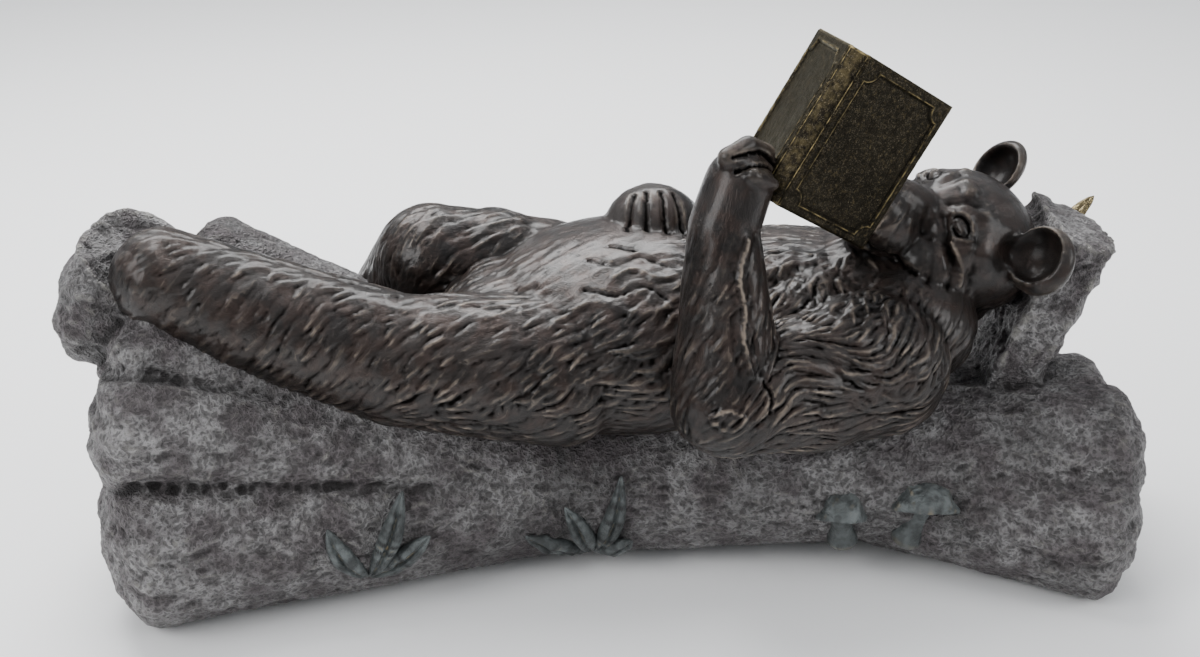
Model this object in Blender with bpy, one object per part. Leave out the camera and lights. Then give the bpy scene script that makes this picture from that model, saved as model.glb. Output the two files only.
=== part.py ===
"""A bear lying on its back on a fallen log and reading a book: a cast bronze garden statue.

Three castings: the log with its split stump, twig, grass and mushrooms; the bear; the book.
Metres. +X runs from the bear's feet to its head, +Y away from the viewer, +Z up.
The origin is on the log's flat underside, near the middle of the bear's belly.
"""

import math

import bmesh
import bpy
from mathutils import Matrix, Vector
from mathutils.bvhtree import BVHTree

# Driving dimensions
LOG_LENGTH = 1.08
LOG_RADIUS = 0.113
LOG_FLAT = 0.013  # height that the flat underside takes off the trunk's round
STUMP_WIDTH = 0.135
STUMP_THICKNESS = 0.046
BEAR_LENGTH = 0.94  # sole to crown, as it lies
BOOK_HEIGHT = 0.160
BOOK_WIDTH = 0.1250
BOOK_SPINE = 0.0215
BOOK_OPENING = 66.0  # degrees between the covers
COVER_THICKNESS = 0.004
PAGE_DEPTH = 0.010  # of the pages that lie on each cover
PAGE_INSET = 0.004  # how far the covers stand past the pages
SEAM = 0.0006  # gap between two castings where they meet
SHARPEST = 3.0  # limit on how far a sharp corner is moved for that gap, in gaps
STEADINESS = 0.05  # how strongly a nearly flat corner is held to its own normal

# Clay: voxel sizes, smoothing passes and the share of faces that is kept
LOG_VOXEL = 0.0070
LOG_SMOOTHING = 4
LOG_KEPT = 0.034
BEAR_VOXEL = 0.0045
BEAR_SMOOTHING = 2
BEAR_KEPT = 0.043

TRUNK_AXIS_Z = LOG_RADIUS - LOG_FLAT
TRUNK_TOP_Z = TRUNK_AXIS_Z + LOG_RADIUS

BRONZE_BROWN = ((0.035, 0.026, 0.022), 0.38)
STONE_GREY = ((0.11, 0.105, 0.105), 0.62)
BRASS_DARK = ((0.075, 0.058, 0.028), 0.36)


def clear_scene():
    for obj in list(bpy.data.objects):
        bpy.data.objects.remove(obj)


def metal(name, look):
    """A cast metal with one patina colour."""
    colour, roughness = look
    material = bpy.data.materials.new(name)
    material.use_nodes = True
    shader = material.node_tree.nodes["Principled BSDF"]
    shader.inputs["Base Color"].default_value = (*colour, 1.0)
    shader.inputs["Roughness"].default_value = roughness
    shader.inputs["Metallic"].default_value = 1.0
    return material


def new_object(name, clay):
    mesh = bpy.data.meshes.new(name)
    clay.to_mesh(mesh)
    clay.free()
    obj = bpy.data.objects.new(name, mesh)
    bpy.context.scene.collection.objects.link(obj)
    return obj


def new_tool(name, clay):
    """A shape that only cuts or joins others."""
    tool = new_object(name, clay)
    tool.hide_render = True
    tool.display_type = "WIRE"
    return tool


def combine(obj, operation, tool):
    modifier = obj.modifiers.new(tool.name, "BOOLEAN")
    modifier.operation = operation
    modifier.solver = "EXACT"
    modifier.object = tool


def fuse(obj, voxel):
    remesh = obj.modifiers.new("Fuse", "REMESH")
    remesh.mode = "VOXEL"
    remesh.voxel_size = voxel


def soften(obj, passes):
    smooth = obj.modifiers.new("Soften", "SMOOTH")
    smooth.iterations = passes
    smooth.factor = 0.5


def facet(obj, kept):
    decimate = obj.modifiers.new("Facets", "DECIMATE")
    decimate.ratio = kept
    decimate.use_collapse_triangulate = True


def axes_along(direction, side=(0, 1, 0)):
    """Axes with the third along a direction and the first as near to side as it can be."""
    along = Vector(direction).normalized()
    across = Vector(side)
    across = (across - along * along.dot(across)).normalized()
    return Matrix((across, along.cross(across), along)).transposed()


# Clay shapes: each adds one closed form to a bmesh


def ball(clay, centre, radii, axes=None, fineness=4):
    """An ellipsoid. The columns of axes are the directions of its radii."""
    rotation = (axes or Matrix.Identity(3)).to_4x4()
    place = Matrix.Translation(centre) @ rotation @ Matrix.Diagonal((*radii, 1.0))
    bmesh.ops.create_icosphere(clay, subdivisions=fineness, radius=1.0, matrix=place)


def cone(clay, start, end, start_radius, end_radius, axes, flat=1.0, segments=40):
    squeeze = Matrix.Diagonal((1.0, flat, 1.0, 1.0))
    place = Matrix.Translation((start + end) / 2) @ axes.to_4x4() @ squeeze
    bmesh.ops.create_cone(
        clay,
        cap_ends=True,
        segments=segments,
        radius1=start_radius,
        radius2=end_radius,
        depth=(end - start).length,
        matrix=place,
    )


def bone(clay, start, end, start_radius, end_radius, flat=1.0, cap=1.0, side=(0, 1, 0)):
    """A tapered limb. flat squeezes it at right angles to side, and cap the roundness of its ends."""
    start, end = Vector(start), Vector(end)
    axes = axes_along(end - start, side)
    cone(clay, start, end, start_radius, end_radius, axes, flat)
    for centre, radius in ((start, start_radius), (end, end_radius)):
        ball(clay, centre, (radius, radius * flat, radius * cap), axes)


def prism(outline, height):
    """A closed prism from a turn of points in X and Y, centred on Z."""
    clay = bmesh.new()
    ring = [clay.verts.new((x, y, -height / 2)) for x, y in outline]
    face = clay.faces.new(ring)
    lifted = bmesh.ops.extrude_face_region(clay, geom=[face])["geom"]
    verts = [v for v in lifted if isinstance(v, bmesh.types.BMVert)]
    bmesh.ops.translate(clay, verts=verts, vec=(0, 0, height))
    bmesh.ops.recalc_face_normals(clay, faces=clay.faces)
    return clay


# The log: a trunk with root swellings at both ends

TRUNK_FROM, TRUNK_TO = -0.385, 0.470
TRUNK_END_RADIUS = 0.84
SWELLING_CAP = 0.50

# Each swelling starts inside the trunk and ends at the cut. Places are a share of the log's length,
# then shares of its radius across and up from the trunk's axis; radii are shares of its radius.
SWELLINGS = {
    "foot_end_near_top": ((-0.100, -0.20, 0.30), 0.60, (-0.452, -0.36, 1.96), 0.68),
    "foot_end_near_middle": ((-0.060, -0.22, 0.12), 0.72, (-0.424, -1.18, 1.02), 0.60),
    "foot_end_near_low": ((-0.060, -0.12, -0.05), 0.84, (-0.416, -1.16, -0.05), 0.84),
    "foot_end_far_top": ((-0.080, 0.20, 0.30), 0.60, (-0.384, 0.80, 1.52), 0.58),
    "foot_end_far_middle": ((-0.060, 0.22, 0.12), 0.72, (-0.404, 1.05, 0.80), 0.62),
    "foot_end_far_low": ((-0.060, 0.12, -0.05), 0.84, (-0.398, 0.95, -0.08), 0.80),
    "foot_end_heart": ((-0.120, 0.00, 0.05), 0.88, (-0.395, 0.05, 0.66), 1.15),
    "head_end_near": ((0.080, -0.10, 0.00), 0.86, (0.484, -0.58, 0.18), 0.64),
    "head_end_near_low": ((0.270, -0.28, -0.16), 0.62, (0.472, -1.06, -0.30), 0.62),
    "head_end_far": ((0.080, 0.10, 0.00), 0.86, (0.478, 0.55, -0.10), 0.66),
    "head_end_far_low": ((0.240, 0.25, -0.12), 0.64, (0.465, 0.90, -0.36), 0.58),
}

# The hollow at the foot end that the bear's foot lies in
FOOT_HOLLOW = (-0.412, -0.62, 2.52)
FOOT_HOLLOW_RADII = (0.070, 0.052, 0.075)

# Faint ridges of bark along the trunk: their angles from the top toward the viewer
BARK_RIDGES = range(-150, 151, 25)
BARK_RIDGE_HEIGHT = 0.035
BARK_RIDGE_WIDTH = 0.13

# The split stump that the head leans on
STUMP_FOOT = (0.358, 0.16, 0.20)
STUMP_TOP = (0.447, 0.16, 2.20)
STUMP_BARK = 0.40  # how far the bark bulges behind the split face, as a share of half its width

# The twig behind the stump
TWIG_ROOT = (0.450, 0.80, 1.75)
TWIG_TIP = (0.496, 0.95, 2.16)
TWIG_RADIUS = 0.011


def log_point(share):
    """A place given by its share of the log's length and shares of its radius across and up."""
    along, across, up = share
    return Vector((along * LOG_LENGTH, across * LOG_RADIUS, TRUNK_AXIS_Z + up * LOG_RADIUS))


def bark_ridges(clay):
    """Long low ridges, each a third of the trunk long, set in turn along it."""
    for count, angle in enumerate(BARK_RIDGES):
        turn = math.radians(angle)
        along = 0.17 * math.sin(2.4 * count) + 0.03
        across, up = -math.sin(turn), math.cos(turn)
        sunk = 1.0 - BARK_RIDGE_HEIGHT * 0.2
        centre = log_point((along, across * sunk, up * sunk))
        axes = axes_along((1, 0, 0), (0, across, up))
        height = BARK_RIDGE_HEIGHT * LOG_RADIUS
        width = BARK_RIDGE_WIDTH * LOG_RADIUS
        ball(clay, centre, (height, width, LOG_LENGTH / 6), axes)


def stump(clay):
    """A slab split from the trunk: flat toward the head, round with bark behind."""
    foot, top = log_point(STUMP_FOOT), log_point(STUMP_TOP)
    axes = axes_along(top - foot)
    size = (STUMP_WIDTH, STUMP_THICKNESS, (top - foot).length)
    place = Matrix.Translation((foot + top) / 2) @ axes.to_4x4() @ Matrix.Diagonal((*size, 1.0))
    bmesh.ops.create_cube(clay, size=1.0, matrix=place)
    back = axes.col[1] * STUMP_THICKNESS / 2
    if back.x < 0:
        back = -back
    cone(clay, foot + back, top + back * 0.9, STUMP_WIDTH / 2, STUMP_WIDTH * 0.42, axes, STUMP_BARK)


def log_clay():
    clay = bmesh.new()
    radius = LOG_RADIUS
    ends = log_point((TRUNK_FROM, 0, 0)), log_point((TRUNK_TO, 0, 0))
    bone(clay, *ends, radius, radius * TRUNK_END_RADIUS, cap=SWELLING_CAP)
    for root, root_size, end, end_size in SWELLINGS.values():
        ends = log_point(root), log_point(end)
        bone(clay, *ends, root_size * radius, end_size * radius, cap=SWELLING_CAP)
    bark_ridges(clay)
    stump(clay)
    return clay


def foot_hollow():
    clay = bmesh.new()
    ball(clay, log_point(FOOT_HOLLOW), FOOT_HOLLOW_RADII)
    return new_tool("foot_hollow", clay)


def ground_cut():
    """Everything below the floor, which leaves the underside flat."""
    clay = bmesh.new()
    depth = LOG_RADIUS
    size = Matrix.Diagonal((LOG_LENGTH * 1.5, LOG_LENGTH, depth, 1.0))
    bmesh.ops.create_cube(clay, size=1.0, matrix=Matrix.Translation((0, 0, -depth / 2)) @ size)
    return new_tool("ground_cut", clay)


def twig():
    clay = bmesh.new()
    root, tip = log_point(TWIG_ROOT), log_point(TWIG_TIP)
    start = root - (tip - root) * 0.8
    cone(clay, start, tip, TWIG_RADIUS * 1.1, TWIG_RADIUS * 0.25, axes_along(tip - root), segments=9)
    return new_tool("twig", clay)


# Grass and mushrooms on the near side. A place is a share of the log's length and an angle around
# the trunk's axis, from its top toward the viewer. A blade's tip lies so far along and so far round.
GRASS = {
    "grass_left": (-0.217, 108, ((-0.034, 24), (0.036, 34), (0.062, 17))),
    "grass_right": (-0.010, 138, ((-0.068, 34), (-0.029, 48), (0.028, 65), (0.039, 29))),
}
BLADE_WIDTH = 0.014
BLADE_RISE = 0.006
MUSHROOMS = {
    "mushroom_left": (0.226, 122, 24, 0.025, 0.026),
    "mushroom_right": (0.300, 125, 35, 0.036, 0.030),
}
STEM_RADIUS = 0.014


class Bark:
    """Finds the log's surface from outside, so that what grows on it stands on it."""

    def __init__(self, obj):
        graph = bpy.context.evaluated_depsgraph_get()
        self.tree = BVHTree.FromObject(obj, graph)

    def at(self, along, angle):
        """The surface point and its outward direction, at a place along and around the trunk."""
        turn = math.radians(angle)
        outward = Vector((0, -math.sin(turn), math.cos(turn)))
        axis = Vector((along, 0, TRUNK_AXIS_Z))
        return self.tree.ray_cast(axis + outward * LOG_RADIUS * 4, -outward)[:2]


def grass_blades(bark):
    for name, (along, angle, tips) in GRASS.items():
        along *= LOG_LENGTH
        for count, (aside, round_by) in enumerate(tips):
            root, _ = bark.at(along, angle)
            middle, normal = bark.at(along + aside * 0.42, angle - round_by * 0.5)
            tip, _ = bark.at(along + aside, angle - round_by)
            length = (tip - root).length
            axes = axes_along(tip - root, normal)
            clay = bmesh.new()
            radii = (BLADE_RISE, BLADE_WIDTH / 2, length * 0.54)
            ball(clay, middle + normal * BLADE_RISE * 0.4, radii, axes, fineness=2)
            yield new_tool(f"{name}_{count}", clay)


def mushroom(bark, name, along, angle, round_by, cap_radius, cap_height):
    """A stem and a cap that stand against the trunk's side."""
    along *= LOG_LENGTH
    foot, _ = bark.at(along - cap_radius * 0.2, angle)
    top, outward = bark.at(along, angle - round_by)
    axes = axes_along(top - foot, outward)
    clay = bmesh.new()
    cone(clay, foot, top, STEM_RADIUS * 0.8, STEM_RADIUS, axes, segments=10)
    stem = new_tool(f"{name}_stem", clay)
    profile = [
        Vector((0.0, 0.0, cap_height)),
        Vector((cap_radius * 0.45, 0.0, cap_height * 0.90)),
        Vector((cap_radius * 0.82, 0.0, cap_height * 0.52)),
        Vector((cap_radius, 0.0, 0.0)),
        Vector((cap_radius * 0.80, 0.0, -cap_height * 0.12)),
        Vector((0.0, 0.0, -cap_height * 0.12)),
    ]
    clay = bmesh.new()
    verts = [clay.verts.new(p) for p in profile]
    edges = [clay.edges.new(pair) for pair in zip(verts, verts[1:])]
    centre, axis = (0, 0, 0), (0, 0, 1)
    bmesh.ops.spin(clay, geom=verts + edges, cent=centre, axis=axis, angle=math.tau, steps=14)
    bmesh.ops.remove_doubles(clay, verts=clay.verts, dist=0.0001)
    bmesh.ops.recalc_face_normals(clay, faces=clay.faces)
    bmesh.ops.transform(clay, matrix=Matrix.Translation(top) @ axes.to_4x4(), verts=clay.verts)
    return stem, new_tool(f"{name}_cap", clay)


def log():
    obj = new_object("log", log_clay())
    fuse(obj, LOG_VOXEL)
    combine(obj, "DIFFERENCE", foot_hollow())
    fuse(obj, LOG_VOXEL)
    soften(obj, LOG_SMOOTHING)
    facet(obj, LOG_KEPT)
    combine(obj, "DIFFERENCE", ground_cut())
    combine(obj, "UNION", twig())
    bark = Bark(obj)
    for blade in grass_blades(bark):
        combine(obj, "UNION", blade)
    for name, sizes in MUSHROOMS.items():
        for tool in mushroom(bark, name, *sizes):
            combine(obj, "UNION", tool)
    return obj


# The bear. Places are shares of its length, from the point on the trunk's top below its belly.

JOINTS = {
    "near_hip": ((-0.050, -0.085, 0.028), 0.080),
    "near_knee": ((-0.212, -0.096, 0.046), 0.068),
    "near_ankle": ((-0.368, -0.096, 0.106), 0.060),
    "near_toes": ((-0.446, -0.096, 0.142), 0.051),
    "far_hip": ((-0.060, 0.085, 0.050), 0.076),
    "far_knee": ((-0.186, 0.080, 0.084), 0.064),
    "far_ankle": ((-0.244, 0.140, 0.000), 0.050),
    "far_toes": ((-0.300, 0.160, -0.045), 0.045),
    "near_shoulder": ((0.285, -0.095, 0.035), 0.078),
    "near_elbow": ((0.122, -0.170, 0.032), 0.056),
    "near_wrist": ((0.118, -0.125, 0.200), 0.036),
    "near_palm": ((0.134, -0.108, 0.240), 0.035),
    "far_shoulder": ((0.223, 0.115, 0.020), 0.069),
    "far_elbow": ((0.128, 0.200, 0.026), 0.051),
    "far_wrist": ((0.080, 0.145, 0.095), 0.044),
    "far_palm": ((0.060, 0.082, 0.124), 0.046),
    "neck": ((0.290, 0.000, 0.040), 0.100),
    "nape": ((0.372, 0.022, 0.088), 0.070),
}
BONES = (
    ("near_hip", "near_knee"),
    ("near_knee", "near_ankle"),
    ("near_ankle", "near_toes"),
    ("far_hip", "far_knee"),
    ("far_knee", "far_ankle"),
    ("far_ankle", "far_toes"),
    ("near_shoulder", "near_elbow"),
    ("near_elbow", "near_wrist"),
    ("near_wrist", "near_palm"),
    ("far_shoulder", "far_elbow"),
    ("far_elbow", "far_wrist"),
    ("far_wrist", "far_palm"),
    ("neck", "nape"),
)
MASSES = {
    "belly": ((0.032, 0.005, 0.040), (0.180, 0.160, 0.110)),
    "chest": ((0.210, 0.010, 0.030), (0.160, 0.160, 0.100)),
    "rump": ((-0.075, 0.000, 0.025), (0.115, 0.150, 0.090)),
    "far_thigh": ((-0.118, 0.080, 0.084), (0.070, 0.060, 0.058)),
    "near_upper_arm": ((0.205, -0.130, 0.022), (0.095, 0.060, 0.064)),
    "near_ruff": ((0.318, -0.045, 0.056), (0.084, 0.074, 0.070)),
    "far_ruff": ((0.315, 0.060, 0.045), (0.085, 0.072, 0.070)),
}

# Fingers: base, knuckle and tip of the middle one, the way they are spread, how many and their radius
PAWS = {
    "near": (
        (0.130, -0.112, 0.250),
        (0.146, -0.104, 0.250),
        (0.168, -0.086, 0.240),
        (-0.25, -0.25, 0.95),
        4,
        0.0105,
    ),
    "far": (
        (0.060, 0.090, 0.146),
        (0.060, 0.050, 0.160),
        (0.060, 0.010, 0.128),
        (1.0, 0.0, 0.0),
        5,
        0.0150,
    ),
}
FINGER_PITCH = 1.5  # distance between fingers in radii

# The head: where it is, which way it looks, and its forms as places forward, left and up
SKULL = (0.400, 0.016, 0.127)
LOOKS_TO = Vector((-0.720, -0.200, 0.620))
LEFT_SIDE = Vector((0.080, -0.950, -0.280))
HEAD_FORMS = {
    "skull": ((0.000, 0.000, -0.004), (0.083, 0.081, 0.070)),
    "near_cheek": ((0.028, 0.044, -0.036), (0.062, 0.043, 0.046)),
    "far_cheek": ((0.028, -0.044, -0.036), (0.062, 0.043, 0.046)),
    "near_brow": ((0.048, 0.027, 0.020), (0.027, 0.025, 0.018)),
    "far_brow": ((0.048, -0.027, 0.020), (0.027, 0.025, 0.018)),
    "bridge": ((0.080, 0.000, -0.006), (0.062, 0.030, 0.024)),
    "muzzle": ((0.100, 0.000, -0.024), (0.066, 0.045, 0.034)),
    "nose": ((0.158, 0.000, -0.012), (0.016, 0.022, 0.016)),
    "jaw": ((0.084, 0.000, -0.062), (0.062, 0.035, 0.019)),
    "near_eye": ((0.072, 0.036, -0.002), (0.008, 0.011, 0.009)),
    "far_eye": ((0.072, -0.036, -0.002), (0.008, 0.011, 0.009)),
}
EAR = (-0.018, 0.084, 0.060)
EAR_RADIUS = 0.038
EAR_THICKNESS = 0.017
EAR_TURN = {1: 22.0, -1: -4.0}  # degrees that each ear is turned outward, left and right
EAR_CUP = 0.74  # size of the cup inside the ear


def on_bear(place):
    return Vector(place) * BEAR_LENGTH + Vector((0, 0, TRUNK_TOP_Z))


def on_bear_size(sizes):
    return [s * BEAR_LENGTH for s in sizes]


def head_axes():
    forward = LOOKS_TO.normalized()
    left = (LEFT_SIDE - forward * forward.dot(LEFT_SIDE)).normalized()
    return Matrix((forward, left, forward.cross(left))).transposed()


def on_head(place):
    return on_bear(SKULL) + head_axes() @ Vector(place) * BEAR_LENGTH


def ear_axes(side):
    """The ear's axes: the first leaves its cup, the third rises along it."""
    return head_axes() @ Matrix.Rotation(math.radians(EAR_TURN[side]), 3, "Z")


def head(clay):
    for centre, radii in HEAD_FORMS.values():
        ball(clay, on_head(centre), on_bear_size(radii), head_axes())
    forward, left, up = EAR
    for side in (1, -1):
        radii = on_bear_size((EAR_THICKNESS, EAR_RADIUS, EAR_RADIUS))
        ball(clay, on_head((forward, side * left, up)), radii, ear_axes(side))


def paw(clay, base, knuckle, tip, spread, count, radius):
    spread = Vector(spread).normalized()
    for finger in range(count):
        offset = spread * (finger - (count - 1) / 2) * radius * FINGER_PITCH
        points = [on_bear(Vector(p) + offset) for p in (base, knuckle, tip)]
        bone(clay, points[0], points[1], *on_bear_size((radius, radius)))
        bone(clay, points[1], points[2], *on_bear_size((radius, radius * 0.85)))


# Fur: rows of locks laid over limbs and masses


def lock(clay, centre, outward, flow, size):
    """One lock: a long low ridge that follows flow."""
    length, width, height = on_bear_size(size)
    axes = axes_along(flow, outward)
    ball(clay, centre, (height, width, length), axes, fineness=3)


def limb_fur(clay, start, end, rows, angles, size, lean):
    """Rows of locks around a limb. Angles turn from +Z toward the viewer, and lean twists the flow."""
    start_place, start_radius = JOINTS[start]
    end_place, end_radius = JOINTS[end]
    start_point, end_point = on_bear(start_place), on_bear(end_place)
    along = (end_point - start_point).normalized()
    upward = (Vector((0, 0, 1)) - along * along.z).normalized()
    if abs(along.z) > 0.9:
        upward = (Vector((1, 0, 0)) - along * along.x).normalized()
    near = upward.cross(along)
    if near.y > 0:
        near = -near
    for row in range(rows):
        share = (row + 0.5) / rows
        shift = (row % 2) * 0.5 * (angles[1] - angles[0])
        for angle in angles:
            turn = math.radians(angle + shift)
            outward = upward * math.cos(turn) + near * math.sin(turn)
            radius = (start_radius + (end_radius - start_radius) * share) * BEAR_LENGTH
            centre = start_point.lerp(end_point, share) + outward * radius
            around = outward.cross(along)
            flow = along + around * math.tan(math.radians(lean))
            lock(clay, centre, outward, flow, size)


def mass_fur(clay, name, spots, flow, size):
    """Locks on an ellipsoid at given turns from +Z toward the viewer and toward the head."""
    centre, radii = MASSES[name]
    for across, along in spots:
        a, b = math.radians(across), math.radians(along)
        unit = Vector((math.sin(b), -math.sin(a) * math.cos(b), math.cos(a) * math.cos(b)))
        place = Vector((c + r * u for c, r, u in zip(centre, radii, unit)))
        outward = Vector((u / r for u, r in zip(unit, radii))).normalized()
        lock(clay, on_bear(place), outward, Vector(flow), size)


def coat(clay):
    limb_fur(clay, "near_ankle", "near_knee", 4, range(-40, 121, 40), (0.034, 0.011, 0.006), 24)
    limb_fur(clay, "near_knee", "near_hip", 5, range(-30, 121, 36), (0.034, 0.012, 0.006), 20)
    limb_fur(clay, "far_knee", "far_hip", 3, range(-30, 61, 30), (0.030, 0.011, 0.006), 20)
    limb_fur(clay, "far_ankle", "far_knee", 3, range(0, 121, 40), (0.030, 0.011, 0.006), -20)
    limb_fur(clay, "near_elbow", "near_wrist", 4, range(-80, 161, 40), (0.030, 0.009, 0.005), 10)
    limb_fur(clay, "near_shoulder", "near_elbow", 4, range(-20, 121, 28), (0.032, 0.012, 0.007), -22)
    spots = [(a, b) for b in range(-30, 61, 18) for a in range(-10, 60, 22)]
    mass_fur(clay, "chest", spots, (-1.0, -0.5, 0.0), (0.034, 0.012, 0.006))
    spots = [(a, b) for b in range(-40, 21, 20) for a in range(20, 80, 22)]
    mass_fur(clay, "belly", spots, (-1.0, -0.4, 0.0), (0.036, 0.011, 0.005))


def bear_clay():
    clay = bmesh.new()
    for start, end in BONES:
        start_place, start_radius = JOINTS[start]
        end_place, end_radius = JOINTS[end]
        radii = on_bear_size((start_radius, end_radius))
        bone(clay, on_bear(start_place), on_bear(end_place), *radii)
    for centre, radii in MASSES.values():
        ball(clay, on_bear(centre), on_bear_size(radii))
    for fingers in PAWS.values():
        paw(clay, *fingers)
    coat(clay)
    head(clay)
    return clay


def ear_cup(side):
    forward, left, up = EAR
    clay = bmesh.new()
    lift = EAR_THICKNESS * 0.85
    centre = on_head((forward, side * left, up)) + ear_axes(side).col[0] * lift * BEAR_LENGTH
    size = EAR_RADIUS * EAR_CUP
    ball(clay, centre, on_bear_size((EAR_THICKNESS * 1.1, size, size)), ear_axes(side), fineness=3)
    return new_tool(f"ear_cup_{side}", clay)


def way_out(vert):
    """The move that takes every face around a vertex out by one, as nearly as one move can."""
    planes = Matrix.Identity(3) * STEADINESS
    wanted = vert.normal * STEADINESS
    for face in vert.link_faces:
        normal = face.normal
        planes += Matrix([normal * part for part in normal])
        wanted += normal
    move = planes.inverted() @ wanted
    return move * min(1.0, SHARPEST / move.length)


def swollen(name, obj, gap):
    """A copy of a finished casting, every face moved out by a gap, to cut its neighbour with."""
    graph = bpy.context.evaluated_depsgraph_get()
    shape = bmesh.new()
    shape.from_mesh(obj.evaluated_get(graph).to_mesh())
    shape.transform(obj.matrix_world)
    bmesh.ops.triangulate(shape, faces=shape.faces)
    shape.normal_update()
    moves = [way_out(v) * gap for v in shape.verts]
    for vert, move in zip(shape.verts, moves):
        vert.co += move
    return new_tool(name, shape)


def bear(log_obj, book_obj):
    obj = new_object("bear", bear_clay())
    fuse(obj, BEAR_VOXEL)
    for side in (1, -1):
        combine(obj, "DIFFERENCE", ear_cup(side))
    fuse(obj, BEAR_VOXEL)
    soften(obj, BEAR_SMOOTHING)
    facet(obj, BEAR_KEPT)
    combine(obj, "DIFFERENCE", swollen("seat", log_obj, SEAM))
    combine(obj, "DIFFERENCE", swollen("grip", book_obj, SEAM))
    return obj


# The book: two covers and a flat spine, with the pages lying on the covers

BOOK_PLACE = (0.1620, -0.1160, 0.2260)  # middle of the spine's foot, on the bear
BOOK_UP = Vector((0.512, 0.154, 0.845))
BOOK_OPENS_TO = Vector((0.405, 0.824, -0.396))


def book_matrix():
    up = BOOK_UP.normalized()
    opens = (BOOK_OPENS_TO - up * up.dot(BOOK_OPENS_TO)).normalized()
    turn = Matrix((opens.cross(up), opens, up)).transposed().to_4x4()
    return Matrix.Translation(on_bear(BOOK_PLACE) + up * BOOK_HEIGHT / 2) @ turn


def book_band(outer, inner, width):
    """The outline of a V-shaped band between two depths below the covers' outer faces."""
    half = math.radians(BOOK_OPENING / 2)
    out = Vector((math.sin(half), math.cos(half)))
    inward = Vector((-math.cos(half), math.sin(half)))
    hinge = Vector((BOOK_SPINE / 2, 0.0))

    def corner(depth):
        """Where the faces at one depth meet the spine's, in the middle or at a side."""
        at_side = hinge + inward * depth + out * depth * math.tan(half / 2 + math.pi / 4 - half)
        if at_side.x > 0:
            return [Vector((at_side.x, depth))]
        foot = hinge + inward * depth
        return [foot - out * (foot.x / out.x)]

    right = [*corner(outer), hinge + inward * outer + out * width]
    right += [hinge + inward * inner + out * width, *corner(inner)]
    left = [Vector((-p.x, p.y)) for p in reversed(right)]
    outline = []
    for point in right + left:
        if not outline or (point - outline[-1]).length > 1e-5:
            outline.append(point)
    return outline


def book():
    covers = new_object("book", prism(book_band(0.0, COVER_THICKNESS, BOOK_WIDTH), BOOK_HEIGHT))
    covers.matrix_world = book_matrix()
    band = book_band(COVER_THICKNESS * 0.8, COVER_THICKNESS + PAGE_DEPTH, BOOK_WIDTH - PAGE_INSET)
    pages = prism(band, BOOK_HEIGHT - 2 * PAGE_INSET)
    pages = new_tool("pages", pages)
    pages.matrix_world = book_matrix()
    combine(covers, "UNION", pages)
    return covers


def main():
    clear_scene()
    log_obj = log()
    book_obj = book()
    bear_obj = bear(log_obj, book_obj)
    log_obj.data.materials.append(metal("log_patina", STONE_GREY))
    bear_obj.data.materials.append(metal("bear_bronze", BRONZE_BROWN))
    book_obj.data.materials.append(metal("book_brass", BRASS_DARK))


main()
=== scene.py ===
"""A bear lying on its back on a fallen log and reading a book: a cast bronze garden statue.

Each casting is modelled as clay that is fused, carved and thinned, then given its patina.
"""
import math

import bmesh
import bpy
import numpy as np
from mathutils import Matrix, Vector, kdtree, noise
from mathutils.bvhtree import BVHTree


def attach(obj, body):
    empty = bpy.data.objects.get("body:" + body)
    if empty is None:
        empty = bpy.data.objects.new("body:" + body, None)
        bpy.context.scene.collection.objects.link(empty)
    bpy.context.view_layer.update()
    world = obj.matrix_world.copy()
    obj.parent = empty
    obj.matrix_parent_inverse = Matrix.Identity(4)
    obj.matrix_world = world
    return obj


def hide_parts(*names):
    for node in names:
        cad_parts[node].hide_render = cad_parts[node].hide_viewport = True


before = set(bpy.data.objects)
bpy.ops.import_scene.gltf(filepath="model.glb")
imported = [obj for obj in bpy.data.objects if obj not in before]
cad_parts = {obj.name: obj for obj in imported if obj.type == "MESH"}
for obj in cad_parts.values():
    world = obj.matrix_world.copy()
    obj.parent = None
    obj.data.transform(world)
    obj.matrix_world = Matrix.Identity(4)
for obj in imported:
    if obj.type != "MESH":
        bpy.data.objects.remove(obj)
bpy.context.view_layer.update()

bl_info = {
    "name": "Reading Bear Statue",
    "version": (1, 0, 0),
    "blender": (4, 5, 0),
    "location": "View3D > Sidebar > Statue",
    "description": "Builds a cast bronze bear that reads a book on a log",
    "category": "Object",
}

BODY = "root"
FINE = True


# Sizes and colours that a user may change


class StatueSizes(bpy.types.PropertyGroup):
    bear_grain: bpy.props.FloatProperty(
        name="Bear Clay",
        description="Size of the clay cells that the bear is carved from",
        default=0.0019 if FINE else 0.0032,
        unit="LENGTH",
    )
    log_grain: bpy.props.FloatProperty(
        name="Log Clay",
        description="Size of the clay cells that the log is carved from",
        default=0.0026 if FINE else 0.0042,
        unit="LENGTH",
    )
    lock_room: bpy.props.FloatProperty(
        name="Lock Room",
        description="How much of a lock's width is kept free of other locks' roots",
        default=0.95,
    )
    bark_relief: bpy.props.FloatProperty(
        name="Bark Relief",
        description="Height of the crinkles in the log's bark",
        default=0.0036,
        unit="LENGTH",
    )
    border_relief: bpy.props.FloatProperty(
        name="Border Relief",
        description="Height of the bead around each book cover's panel",
        default=0.0015,
        unit="LENGTH",
    )


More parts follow.
